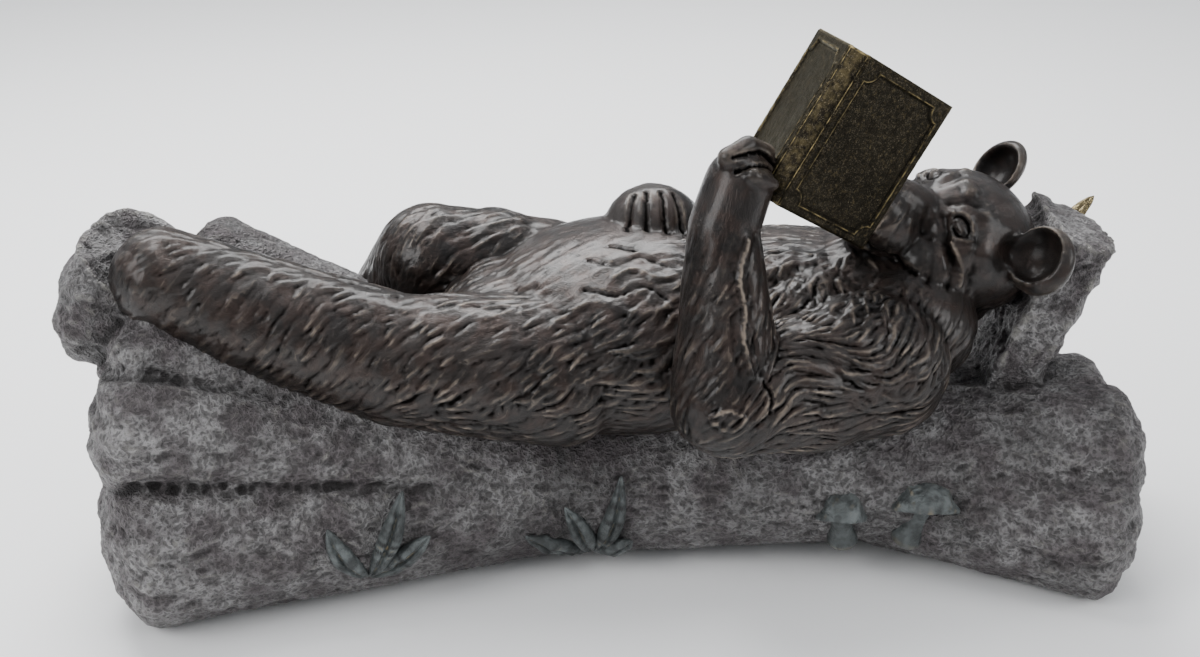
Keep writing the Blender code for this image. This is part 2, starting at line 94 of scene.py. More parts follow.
class StatueColours(bpy.types.PropertyGroup):
    bronze: bpy.props.FloatVectorProperty(
        name="Bronze",
        description="The bear's dark brown patina",
        subtype="COLOR",
        default=(0.018, 0.0145, 0.013),
    )
    bark: bpy.props.FloatVectorProperty(
        name="Bark",
        description="The log's grey patina",
        subtype="COLOR",
        default=(0.228, 0.222, 0.222),
    )
    brass: bpy.props.FloatVectorProperty(
        name="Brass",
        description="The book's antique brass",
        subtype="COLOR",
        default=(0.015, 0.0125, 0.0085),
    )
    verdigris: bpy.props.FloatVectorProperty(
        name="Verdigris",
        description="The blue-green patina of the plants",
        subtype="COLOR",
        default=(0.085, 0.095, 0.095),
    )
    floor: bpy.props.FloatVectorProperty(
        name="Floor",
        description="The pale floor",
        subtype="COLOR",
        default=(0.93, 0.93, 0.93),
    )


# Clay shapes: each adds one closed form to a bmesh


CONE_SIDES = 40


def axes_along(direction, side=(0, 1, 0)):
    """Axes with the third along a direction and the first as near to side as it can be."""
    along = Vector(direction).normalized()
    across = Vector(side)
    across = (across - along * along.dot(across)).normalized()
    return Matrix((across, along.cross(across), along)).transposed()


def ball(clay, centre, radii, axes=None, fineness=4):
    """An ellipsoid. The columns of axes are the directions of its radii."""
    rotation = (axes or Matrix.Identity(3)).to_4x4()
    place = Matrix.Translation(centre) @ rotation @ Matrix.Diagonal((*radii, 1.0))
    bmesh.ops.create_icosphere(clay, subdivisions=fineness, radius=1.0, matrix=place)


def cone(clay, start, end, start_radius, end_radius, axes, flat=1.0):
    """A tapered rod with flat ends, squeezed along its second axis."""
    squeeze = Matrix.Diagonal((1.0, flat, 1.0, 1.0))
    place = Matrix.Translation((start + end) / 2) @ axes.to_4x4() @ squeeze
    bmesh.ops.create_cone(
        clay,
        cap_ends=True,
        segments=CONE_SIDES,
        radius1=start_radius,
        radius2=end_radius,
        depth=(end - start).length,
        matrix=place,
    )


def bone(clay, start, end, start_radius, end_radius, cap=1.0):
    """A tapered limb with rounded ends. A cap below 1 makes them blunt."""
    start, end = Vector(start), Vector(end)
    axes = axes_along(end - start)
    cone(clay, start, end, start_radius, end_radius, axes)
    for centre, radius in ((start, start_radius), (end, end_radius)):
        ball(clay, centre, (radius, radius, radius * cap), axes)


def new_piece(name, clay):
    """An object with the clay's mesh, at the origin and unturned."""
    mesh = bpy.data.meshes.new(name)
    clay.to_mesh(mesh)
    clay.free()
    piece = bpy.data.objects.new(name, mesh)
    bpy.context.scene.collection.objects.link(piece)
    return piece


def settle(piece):
    """Makes the modifiers' result the piece's own mesh."""
    graph = bpy.context.evaluated_depsgraph_get()
    shaped = bpy.data.meshes.new_from_object(piece.evaluated_get(graph))
    piece.modifiers.clear()
    old = piece.data
    piece.data = shaped
    shaped.name = piece.name
    bpy.data.meshes.remove(old)


def fuse(piece, grain):
    """Fuses overlapping forms into one closed skin of even cells."""
    remesh = piece.modifiers.new("Fuse", "REMESH")
    remesh.mode = "VOXEL"
    remesh.voxel_size = grain
    settle(piece)


def thin(piece, most):
    """Drops faces where the surface is plain, down to a number of triangles."""
    piece.data.calc_loop_triangles()
    triangles = len(piece.data.loop_triangles)
    if triangles > most:
        decimate = piece.modifiers.new("Thin", "DECIMATE")
        decimate.ratio = most / triangles
        decimate.use_collapse_triangulate = True
        settle(piece)


# Carving


MOST_TRIANGLES = 190000  # of one casting, once it is thinned


class Skin:
    """A casting's surface while it is carved: its points, their outward directions and neighbours."""

    def __init__(self, piece):
        self.mesh = piece.data
        ends = np.empty(len(self.mesh.edges) * 2, np.int32)
        self.mesh.edges.foreach_get("vertices", ends)
        self.ends = ends.reshape(-1, 2)
        self.degree = np.bincount(ends, minlength=len(self.mesh.vertices))[:, None]
        self.measure()

    def measure(self):
        count = len(self.mesh.vertices)
        flat = np.empty(count * 3, np.float32)
        self.mesh.vertices.foreach_get("co", flat)
        self.places = flat.reshape(-1, 3).astype(float)
        self.mesh.vertex_normals.foreach_get("vector", flat)
        self.normals = flat.reshape(-1, 3).astype(float)

    def plant(self):
        """A search tree of the points."""
        tree = kdtree.KDTree(len(self.places))
        for index, place in enumerate(self.places):
            tree.insert(place, index)
        tree.balance()
        self.tree = tree

    def put(self, places):
        self.mesh.vertices.foreach_set("co", places.astype(np.float32).ravel())
        self.mesh.update()
        self.measure()

    def raise_by(self, heights):
        self.put(self.places + self.normals * heights[:, None])

    def blurred(self, values, passes):
        """Values averaged over neighbours, so many times."""
        first, second = self.ends.T
        for _ in range(passes):
            total = np.zeros_like(values)
            for column in range(values.shape[1]):
                total[:, column] += np.bincount(first, values[second, column], len(values))
                total[:, column] += np.bincount(second, values[first, column], len(values))
            values = 0.5 * values + 0.5 * total / self.degree
        return values

    def soften(self, passes):
        self.put(self.blurred(self.places, passes))

    def hollows(self, passes):
        """How far each point lies below its surroundings, in metres."""
        soft = self.blurred(self.places, passes)
        return ((soft - self.places) * self.normals).sum(1)

    def press(self, centre, radii, axes):
        """Presses the surface out of an ellipsoid, against its first axis."""
        turn, radii, centre = np.array(axes), np.array(radii), np.array(centre)
        local = (self.places - centre) @ turn / radii
        floor = -np.sqrt(np.maximum(1.0 - local[:, 1] ** 2 - local[:, 2] ** 2, 0.0))
        inside = (floor < 0) & (local[:, 0] > floor) & (local[:, 0] < 1.2)
        local[inside, 0] = floor[inside]
        places = self.places.copy()
        places[inside] = (local[inside] * radii) @ turn.T + centre
        self.put(places)

    def dab(self, relief, centre, radii, axes, height, round_top=False):
        """Adds a soft or a round-topped bump inside an ellipsoid, or a pit if the height is below zero."""
        local = (self.places - np.array(centre)) @ np.array(axes) / np.array(radii)
        fall = np.maximum(1.0 - (local**2).sum(1), 0.0)
        relief += height * (np.sqrt(fall) if round_top else fall * fall)

    def line(self, relief, points, width, height):
        """Adds a ridge along a line laid on the surface, or a groove if the height is below zero."""
        found = {}
        for place in smooth_line(points, width / 3):
            place = self.tree.find(place)[0]
            for _, index, distance in self.tree.find_range(place, width):
                if distance < found.get(index, width):
                    found[index] = distance
        shares = np.array(list(found.values())) / width
        relief[list(found)] += height * (0.5 + 0.5 * np.cos(np.pi * shares))

    def remember(self, name, values):
        attribute = self.mesh.attributes.new(name, "FLOAT", "POINT")
        attribute.data.foreach_set("value", values.astype(np.float32))


def smooth_line(points, pace):
    """Points at a pace along a curve through the given ones."""
    points = [Vector(p) for p in points]
    ends = [2 * points[0] - points[1], *points, 2 * points[-1] - points[-2]]
    for before, start, end, after in zip(ends, ends[1:], ends[2:], ends[3:]):
        steps = max(1, math.ceil((end - start).length / pace))
        for step in range(steps):
            t = step / steps
            forward = (end - before) * 0.5
            onward = (after - start) * 0.5
            bend = 3 * (end - start) - 2 * forward - onward
            twist = forward + onward - 2 * (end - start)
            yield start + forward * t + bend * t * t + twist * t * t * t
    yield points[-1]


def carry_over(skin, values_by_name, piece):
    """Gives a thinned piece the values that its full surface had at the same places."""
    new = Skin(piece)
    nearest = [skin.tree.find(place)[1] for place in new.places]
    for name, values in values_by_name.items():
        new.remember(name, values[nearest])


# The log: a trunk with root swellings at both ends

LOG_LENGTH = 1.08
LOG_RADIUS = 0.113
TRUNK_AXIS_Z = 0.100
TRUNK_FROM, TRUNK_TO = -0.385, 0.470
TRUNK_END_RADIUS = 0.84
SWELLING_CAP = 0.50
SWELLINGS = {
    "foot_end_near_top": ((-0.100, -0.20, 0.30), 0.60, (-0.452, -0.36, 1.96), 0.68),
    "foot_end_near_saddle": ((-0.080, -0.20, 0.20), 0.66, (-0.416, -0.76, 1.50), 0.62),
    "foot_end_near_middle": ((-0.060, -0.22, 0.12), 0.72, (-0.424, -1.18, 1.02), 0.60),
    "foot_end_near_low": ((-0.060, -0.12, -0.05), 0.84, (-0.416, -1.16, -0.05), 0.84),
    "foot_end_far_top": ((-0.080, 0.20, 0.30), 0.60, (-0.384, 0.80, 1.52), 0.58),
    "foot_end_far_middle": ((-0.060, 0.22, 0.12), 0.72, (-0.404, 1.05, 0.80), 0.62),
    "foot_end_far_low": ((-0.060, 0.12, -0.05), 0.84, (-0.398, 0.95, -0.08), 0.80),
    "foot_end_heart": ((-0.120, 0.00, 0.05), 0.88, (-0.395, 0.05, 0.66), 1.15),
    "head_end_near": ((0.080, -0.10, 0.00), 0.86, (0.484, -0.58, 0.18), 0.64),
    "head_end_near_low": ((0.270, -0.28, -0.16), 0.62, (0.472, -1.06, -0.30), 0.62),
    "head_end_far": ((0.080, 0.10, 0.00), 0.86, (0.478, 0.55, -0.10), 0.66),
    "head_end_far_low": ((0.240, 0.25, -0.12), 0.64, (0.465, 0.90, -0.36), 0.58),
}
# Hollows pressed into the top root swelling: place, then radii up, along and across
FOOT_HOLLOWS = (
    ((-0.400, -0.66, 2.52), (0.075, 0.060, 0.054)),
    ((-0.408, -0.50, 2.62), (0.045, 0.088, 0.066)),
)
UPWARD = Matrix(((0, 1, 0), (0, 0, 1), (1, 0, 0)))  # its first axis is up
BARK_SEED = 5  # above zero, because at zero the bark would differ from run to run
CREASE_DEPTH = 0.7
# Creases between the root swellings at the foot end, on the near side: along and up, in metres
CREASES = (
    ((-0.463, 0.17), (-0.379, 0.163), (-0.316, 0.153), (-0.242, 0.144), (-0.172, 0.133)),
    ((-0.472, 0.271), (-0.422, 0.258), (-0.356, 0.245), (-0.285, 0.225), (-0.218, 0.197)),
    ((-0.479, 0.028), (-0.391, 0.043), (-0.305, 0.055)),
)
CREASE_SIDE = -0.135
CREASE_WIDTH = 0.0120
CREASE_CUT = -0.0030
STUMP_WIDTH = 0.135
STUMP_THICKNESS = 0.046
STUMP_FOOT = (0.358, 0.16, 0.20)
STUMP_TOP = (0.447, 0.16, 2.20)
STUMP_BARK = 0.40
STUMP_TOP_RADIUS = 0.42  # as a share of its width
# How far below its surroundings a place lies where grime and painted shade fill it: in the grain and in the
# creases
BARK_HOLLOW, BARK_DEEP = 0.0006, 0.0055


def log_point(share):
    """A place given by its share of the log's length and shares of its radius across and up."""
    along, across, up = share
    return Vector((along * LOG_LENGTH, across * LOG_RADIUS, TRUNK_AXIS_Z + up * LOG_RADIUS))


def stump(clay):
    """A slab split from the trunk: flat toward the head, round with bark behind."""
    foot, top = log_point(STUMP_FOOT), log_point(STUMP_TOP)
    axes = axes_along(top - foot)
    size = (STUMP_WIDTH, STUMP_THICKNESS, (top - foot).length)
    place = Matrix.Translation((foot + top) / 2) @ axes.to_4x4() @ Matrix.Diagonal((*size, 1.0))
    bmesh.ops.create_cube(clay, size=1.0, matrix=place)
    back = axes.col[1] * STUMP_THICKNESS / 2
    if back.x < 0:
        back = -back
    radii = STUMP_WIDTH / 2, STUMP_WIDTH * STUMP_TOP_RADIUS
    cone(clay, foot + back, top + back * 0.9, *radii, axes, STUMP_BARK)


def log_clay():
    """The trunk, its root swellings and the split stump, not yet fused."""
    clay = bmesh.new()
    radius = LOG_RADIUS
    ends = log_point((TRUNK_FROM, 0, 0)), log_point((TRUNK_TO, 0, 0))
    bone(clay, *ends, radius, radius * TRUNK_END_RADIUS, cap=SWELLING_CAP)
    for root, root_size, end, end_size in SWELLINGS.values():
        ends = log_point(root), log_point(end)
        bone(clay, *ends, root_size * radius, end_size * radius, cap=SWELLING_CAP)
    stump(clay)
    return clay


def bark_height(place):
    """Crinkles and cracks of bark, from about -1 to 1, longer along the trunk than round it."""
    place = Vector(place)
    bent = place + noise.noise_vector(place * 16) * 0.012
    stretched = Vector((bent.x * 0.60, bent.y, bent.z))
    lumps = noise.fractal(stretched * 24, 1.0, 2.0, 2)
    crinkle = 1.0 - abs(noise.noise(stretched * 62)) * 3.2
    fine = 1.0 - abs(noise.noise(stretched * 118 + Vector((7, 3, 1)))) * 3.0
    flutes = math.sin(place.z * 175 + 2.5 * noise.noise(place * 9)) * 0.5
    flutes *= max(0.0, min(1.0, (abs(place.x) - 0.33) * 8))
    return 0.50 * lumps + 0.40 * crinkle + 0.22 * fine + flutes - 0.2


def build_log(sizes):
    """Fuses the log, presses the bear's foot into it, creases and crinkles its bark, then thins it."""
    noise.seed_set(BARK_SEED)
    piece = new_piece("fallen_log", log_clay())
    fuse(piece, sizes.log_grain)
    skin = Skin(piece)
    for place, radii in FOOT_HOLLOWS:
        skin.press(log_point(place), radii, UPWARD)
    fuse(piece, sizes.log_grain)
    skin = Skin(piece)
    skin.soften(5)
    skin.raise_by(-np.clip(skin.hollows(60) * CREASE_DEPTH, -0.004, 0.008))
    relief = np.array([bark_height(place) for place in skin.places]) * sizes.bark_relief
    skin.plant()
    for crease in CREASES:
        skin.line(relief, [(along, CREASE_SIDE, up) for along, up in crease], CREASE_WIDTH, CREASE_CUT)
    skin.raise_by(relief)
    places = skin.places.copy()
    places[:, 2] = np.maximum(places[:, 2], 0.0)
    skin.put(places)
    skin.plant()
    # Depths that give raised places rubbed wear and painted highlights, and hollows grime and painted shade
    worn = {
        "hollow": skin.hollows(3) / BARK_HOLLOW,
        "deep": skin.hollows(24) / BARK_DEEP,
    }
    thin(piece, MOST_TRIANGLES)
    carry_over(skin, worn, piece)
    return piece


class Bark:
    """Finds the log's surface from outside, so that what grows on it stands on it."""

    def __init__(self, piece):
        graph = bpy.context.evaluated_depsgraph_get()
        self.tree = BVHTree.FromObject(piece, graph)

    def at(self, along, angle):
        turn = math.radians(angle)
        outward = Vector((0, -math.sin(turn), math.cos(turn)))
        axis = Vector((along, 0, TRUNK_AXIS_Z))
        return self.tree.ray_cast(axis + outward * LOG_RADIUS * 4, -outward)[0], outward


# Grass and mushrooms on the near side

GRASS = {
    "grass_left": (-0.217, 108, ((-0.034, 24), (0.036, 34), (0.062, 17))),
    "grass_right": (-0.010, 138, ((-0.068, 34), (-0.029, 48), (0.028, 65), (0.039, 29))),
}
BLADE_WIDTH = 0.023
BLADE_RISE = 0.010
# Each mushroom: the middle of its cap's rim, its foot, then the cap's radius and height
MUSHROOMS = {
    "mushroom_left": ((0.241, -0.114, 0.084), (0.245, -0.108, 0.054), 0.025, 0.034),
    "mushroom_right": ((0.324, -0.114, 0.094), (0.311, -0.108, 0.054), 0.034, 0.036),
}
MUSHROOM_RISE = Vector((0.06, 0.40, 0.92))  # the way the caps point
STEM_RADIUS = 0.0130


def blade(bark, clay, along, angle, aside, round_by, lean):
    """One blade: a pointed leaf with a groove down its middle, laid on the bark."""
    made = bmesh.ops.create_icosphere(clay, subdivisions=5, radius=1.0)["verts"]
    for vert in made:
        x, y, z = vert.co
        share = (x + 1) / 2
        here, outward = bark.at(along + aside * share, angle - round_by * share)
        there, _ = bark.at(along + aside * (share + 0.05), angle - round_by * (share + 0.05))
        forward = (there - here).normalized()
        across = forward.cross(outward).normalized()
        waist = math.sin(math.pi * min(1.0, share * 0.80 + 0.12)) ** 0.8
        groove = math.exp(-((y / 0.20) ** 2)) * 0.62
        spread = y * BLADE_WIDTH / 2 * (0.35 + 0.65 * waist)
        rise = max(z, -0.4) * BLADE_RISE * (1.0 - groove) * (0.5 + 0.5 * waist)
        curl = lean * BLADE_RISE * share * share
        bend = math.sin(share * 3.0) * BLADE_WIDTH * 0.22 * (1 if lean > 0.8 else -1)
        vert.co = here + across * (spread + bend) + outward * (rise + curl)


def build_grass(bark):
    """The tufts, each one piece whose blades start at one place and fan out."""
    pieces = []
    for name, (along, angle, tips) in GRASS.items():
        clay = bmesh.new()
        for count, (aside, round_by) in enumerate(tips):
            blade(bark, clay, along * LOG_LENGTH, angle, aside, round_by, 0.5 + 0.35 * count)
        pieces.append(new_piece(name, clay))
    return pieces


def spun(clay, profile, steps, place):
    """A closed round form from a profile that starts and ends on its axis."""
    verts = [clay.verts.new((radius, 0, height)) for radius, height in profile]
    edges = [clay.edges.new(pair) for pair in zip(verts, verts[1:])]
    centre, axis = (0, 0, 0), (0, 0, 1)
    bmesh.ops.spin(clay, geom=verts + edges, cent=centre, axis=axis, angle=math.tau, steps=steps)
    bmesh.ops.remove_doubles(clay, verts=clay.verts, dist=0.00005)
    bmesh.ops.recalc_face_normals(clay, faces=clay.faces)
    bmesh.ops.transform(clay, matrix=place, verts=clay.verts)


def rounded(profile, passes):
    """A profile with its corners cut, so many times."""
    for _ in range(passes):
        cut = [profile[0]]
        for (a, b), (c, d) in zip(profile, profile[1:]):
            cut += [(0.75 * a + 0.25 * c, 0.75 * b + 0.25 * d), (0.25 * a + 0.75 * c, 0.25 * b + 0.75 * d)]
        profile = cut + [profile[-1]]
    return profile


def build_mushroom(name, rim, foot, cap_radius, cap_height):
    """A bell-shaped cap on a tapered stalk, both half sunk in the log."""
    rim, foot = Vector(rim), Vector(foot)
    axes = axes_along(rim - foot, (1, 0, 0))
    stalk = bmesh.new()
    length = (rim - foot).length
    profile = [
        (0.0, -length * 0.15),
        (STEM_RADIUS * 1.35, -length * 0.15),
        (STEM_RADIUS * 1.02, length * 0.25),
        (STEM_RADIUS * 0.78, length * 0.70),
        (STEM_RADIUS * 0.90, length * 1.15),
        (0.0, length * 1.15),
    ]
    spun(stalk, rounded(profile, 3), 44, Matrix.Translation(foot) @ axes.to_4x4())
    cap = bmesh.new()
    profile = [
        (0.0, cap_height),
        (cap_radius * 0.46, cap_height * 0.98),
        (cap_radius * 0.82, cap_height * 0.62),
        (cap_radius * 0.96, cap_height * 0.22),
        (cap_radius * 1.06, cap_height * 0.02),
        (cap_radius * 1.02, -cap_height * 0.14),
        (cap_radius * 0.86, -cap_height * 0.06),
        (cap_radius * 0.30, cap_height * 0.16),
        (0.0, cap_height * 0.14),
    ]
    lean = axes_along(MUSHROOM_RISE, (1, 0, 0))
    spun(cap, rounded(profile, 3), 80, Matrix.Translation(rim) @ lean.to_4x4())
    for vert in cap.verts:
        away = (vert.co - rim).normalized()
        lump = noise.noise(vert.co * 55) * 0.13 + noise.noise(vert.co * 130) * 0.05
        vert.co += away * lump * cap_radius
    return [new_piece(name, stalk), new_piece(name + "_cap", cap)]


TWIG_ROOT = (0.450, 0.80, 1.75)
TWIG_TIP = (0.496, 0.95, 2.16)
TWIG_RADIUS = 0.011
TWIG_BRASS = (0.16, 0.13, 0.075)


def build_twig():
    """A pointed broken twig with ridged bark."""
    clay = bmesh.new()
    root, tip = log_point(TWIG_ROOT), log_point(TWIG_TIP)
    start = root - (tip - root) * 0.8
    length = (tip - start).length
    profile = [(0.0, 0.0), (TWIG_RADIUS * 1.1, 0.0), (TWIG_RADIUS * 1.05, length * 0.45)]
    profile += [(TWIG_RADIUS * 0.86, length * 0.72), (TWIG_RADIUS * 0.42, length * 0.95), (0.0, length)]
    spun(clay, rounded(profile, 4), 48, Matrix.Identity(4))
    for vert in clay.verts:
        turn = math.atan2(vert.co.y, vert.co.x)
        ridge = 1 + 0.10 * math.sin(7 * turn + 60 * vert.co.z) + 0.12 * noise.noise(vert.co * 120)
        vert.co.x *= ridge
        vert.co.y *= ridge
    place = Matrix.Translation(start) @ axes_along(tip - root).to_4x4()
    bmesh.ops.transform(clay, matrix=place, verts=clay.verts)
    return new_piece("twig", clay)


# The bear. Places are shares of its length, from the point on the trunk's top below its belly.

BEAR_LENGTH = 0.94
TRUNK_TOP_Z = 0.213
JOINTS = {
    "near_hip": ((-0.050, -0.085, 0.028), 0.080),
    "near_knee": ((-0.212, -0.096, 0.046), 0.068),
    "near_ankle": ((-0.368, -0.096, 0.106), 0.060),
    "near_toes": ((-0.446, -0.096, 0.142), 0.051),
    "far_hip": ((-0.060, 0.085, 0.050), 0.076),
    "far_knee": ((-0.186, 0.080, 0.084), 0.064),
    "far_ankle": ((-0.244, 0.140, 0.000), 0.050),
    "far_toes": ((-0.300, 0.160, -0.045), 0.045),
    "near_shoulder": ((0.285, -0.095, 0.035), 0.078),
    "near_elbow": ((0.122, -0.170, 0.032), 0.056),
    "near_wrist": ((0.118, -0.125, 0.200), 0.036),
    "near_palm": ((0.134, -0.108, 0.240), 0.035),
    "far_shoulder": ((0.223, 0.115, 0.020), 0.069),
    "far_elbow": ((0.128, 0.200, 0.026), 0.051),
    "far_wrist": ((0.080, 0.145, 0.095), 0.044),
    "far_palm": ((0.060, 0.082, 0.124), 0.046),
    "neck": ((0.290, 0.000, 0.040), 0.100),
    "nape": ((0.372, 0.022, 0.088), 0.070),
}
BONES = (
    ("near_hip", "near_knee"),
    ("near_knee", "near_ankle"),
    ("near_ankle", "near_toes"),
    ("far_hip", "far_knee"),
    ("far_knee", "far_ankle"),
    ("far_ankle", "far_toes"),
    ("near_shoulder", "near_elbow"),
    ("near_elbow", "near_wrist"),
    ("near_wrist", "near_palm"),
    ("far_shoulder", "far_elbow"),
    ("far_elbow", "far_wrist"),
    ("far_wrist", "far_palm"),
    ("neck", "nape"),
)
MASSES = {
    "belly": ((0.032, 0.005, 0.040), (0.180, 0.160, 0.110)),
    "chest": ((0.210, 0.010, 0.030), (0.160, 0.160, 0.100)),
    "rump": ((-0.075, 0.000, 0.025), (0.115, 0.150, 0.090)),
    "far_thigh": ((-0.118, 0.080, 0.084), (0.070, 0.060, 0.058)),
    "near_upper_arm": ((0.205, -0.130, 0.022), (0.095, 0.060, 0.064)),
    "far_paw": ((0.060, 0.052, 0.126), (0.056, 0.054, 0.054)),
    "near_ruff": ((0.318, -0.045, 0.056), (0.084, 0.074, 0.070)),
    "far_ruff": ((0.315, 0.060, 0.045), (0.085, 0.072, 0.070)),
}
# The near paw's middle finger, the way its fingers stand side by side, their count and radius
FINGER = ((0.126, -0.116, 0.250), (0.147, -0.104, 0.258), (0.168, -0.090, 0.246))
FINGER_SPREAD = (-0.25, -0.30, 0.92)
FINGER_COUNT = 4
FINGER_RADIUS = 0.0110
FINGER_TAPER = 0.85
FINGER_PITCH = 1.5  # in radii
THUMB = ((0.144, -0.136, 0.258), (0.166, -0.127, 0.246), 0.0090, 0.0062)
SKULL = (0.400, 0.016, 0.127)
LOOKS_TO = Vector((-0.720, -0.200, 0.620))
LEFT_SIDE = Vector((0.080, -0.950, -0.280))
FACE_TURN = math.radians(8.0)  # the face is turned to its left, the skull and ears are not
SKULL_RADII = (0.083, 0.081, 0.070)
# Forms of the face: place and radii. Those beside its middle are there on both sides.
FACE_FORMS = {
    "cheek": ((0.030, 0.042, -0.036), (0.062, 0.044, 0.046)),
    "brow": ((0.046, 0.024, 0.028), (0.026, 0.022, 0.020)),
    "cheekbone": ((0.036, 0.048, 0.006), (0.032, 0.026, 0.026)),
    "bridge": ((0.084, 0.000, -0.004), (0.056, 0.026, 0.024)),
    "muzzle": ((0.102, 0.000, -0.026), (0.064, 0.043, 0.033)),
    "lip": ((0.104, 0.022, -0.034), (0.044, 0.024, 0.024)),
    "nose": ((0.158, 0.000, -0.012), (0.016, 0.022, 0.016)),
    "jaw": ((0.084, 0.000, -0.062), (0.062, 0.035, 0.019)),
}
EAR = (-0.018, 0.084, 0.060)
EAR_RADIUS = 0.038
EAR_THICKNESS = 0.017
EAR_TURN = {1: 22.0, -1: -4.0}
EAR_CUP = 0.80
EAR_CUP_MOUTH = 0.62  # shares of the ear's thickness
EAR_CUP_DEPTH = 1.25
# How much deeper the ear cups count: grime and painted shade in the cups
CUP_GRIME_AND_SHADE = 2.2
EAR_CUP_SHIFT = 0.16  # of its radius, toward the head


def on_bear(place):
    """A place given in shares of the bear's length."""
    return Vector(place) * BEAR_LENGTH + Vector((0, 0, TRUNK_TOP_Z))


def on_bear_size(sizes):
    return [s * BEAR_LENGTH for s in sizes]


def head_axes():
    """The skull's axes: forward, left and up."""
    forward = LOOKS_TO.normalized()
    left = (LEFT_SIDE - forward * forward.dot(LEFT_SIDE)).normalized()
    return Matrix((forward, left, forward.cross(left))).transposed()


def on_head(place):
    return on_bear(SKULL) + head_axes() @ Vector(place) * BEAR_LENGTH


def face_axes():
    """The face's axes: the skull's, turned a little to its left."""
    return head_axes() @ Matrix.Rotation(FACE_TURN, 3, "Z")


def on_face(place):
    return on_bear(SKULL) + face_axes() @ Vector(place) * BEAR_LENGTH


def ear_axes(side):
    """The ear's axes: the first leaves its cup, the third rises along it."""
    return head_axes() @ Matrix.Rotation(math.radians(EAR_TURN[side]), 3, "Z")


def head(clay):
    """The skull, the face's forms and the ears before their cups are pressed."""
    ball(clay, on_bear(SKULL), on_bear_size(SKULL_RADII), head_axes(), fineness=5)
    for (forward, left, up), radii in FACE_FORMS.values():
        for side in (1, -1) if left else (1,):
            ball(clay, on_face((forward, side * left, up)), on_bear_size(radii), face_axes(), fineness=5)
    forward, left, up = EAR
    for side in (1, -1):
        radii = on_bear_size((EAR_THICKNESS, EAR_RADIUS, EAR_RADIUS))
        ball(clay, on_head((forward, side * left, up)), radii, ear_axes(side), fineness=5)


def paw(clay):
    """The near paw's fingers, each bent at its knuckle, and its thumb."""
    spread = Vector(FINGER_SPREAD).normalized()
    for finger in range(FINGER_COUNT):
        offset = spread * (finger - (FINGER_COUNT - 1) / 2) * FINGER_RADIUS * FINGER_PITCH
        base, knuckle, tip = [on_bear(Vector(place) + offset) for place in FINGER]
        thick, slim = on_bear_size((FINGER_RADIUS, FINGER_RADIUS * FINGER_TAPER))
        bone(clay, base, knuckle, thick, thick)
        bone(clay, knuckle, tip, thick, slim)
    start, end, *radii = THUMB
    bone(clay, on_bear(start), on_bear(end), *on_bear_size(radii))


def bear_clay():
    """The bear's limbs, masses, paw and head, not yet fused."""
    clay = bmesh.new()
    for start, end in BONES:
        start_place, start_radius = JOINTS[start]
        end_place, end_radius = JOINTS[end]
        radii = on_bear_size((start_radius, end_radius))
        bone(clay, on_bear(start_place), on_bear(end_place), *radii)
    for centre, radii in MASSES.values():
        ball(clay, on_bear(centre), on_bear_size(radii))
    paw(clay)
    head(clay)
    return clay


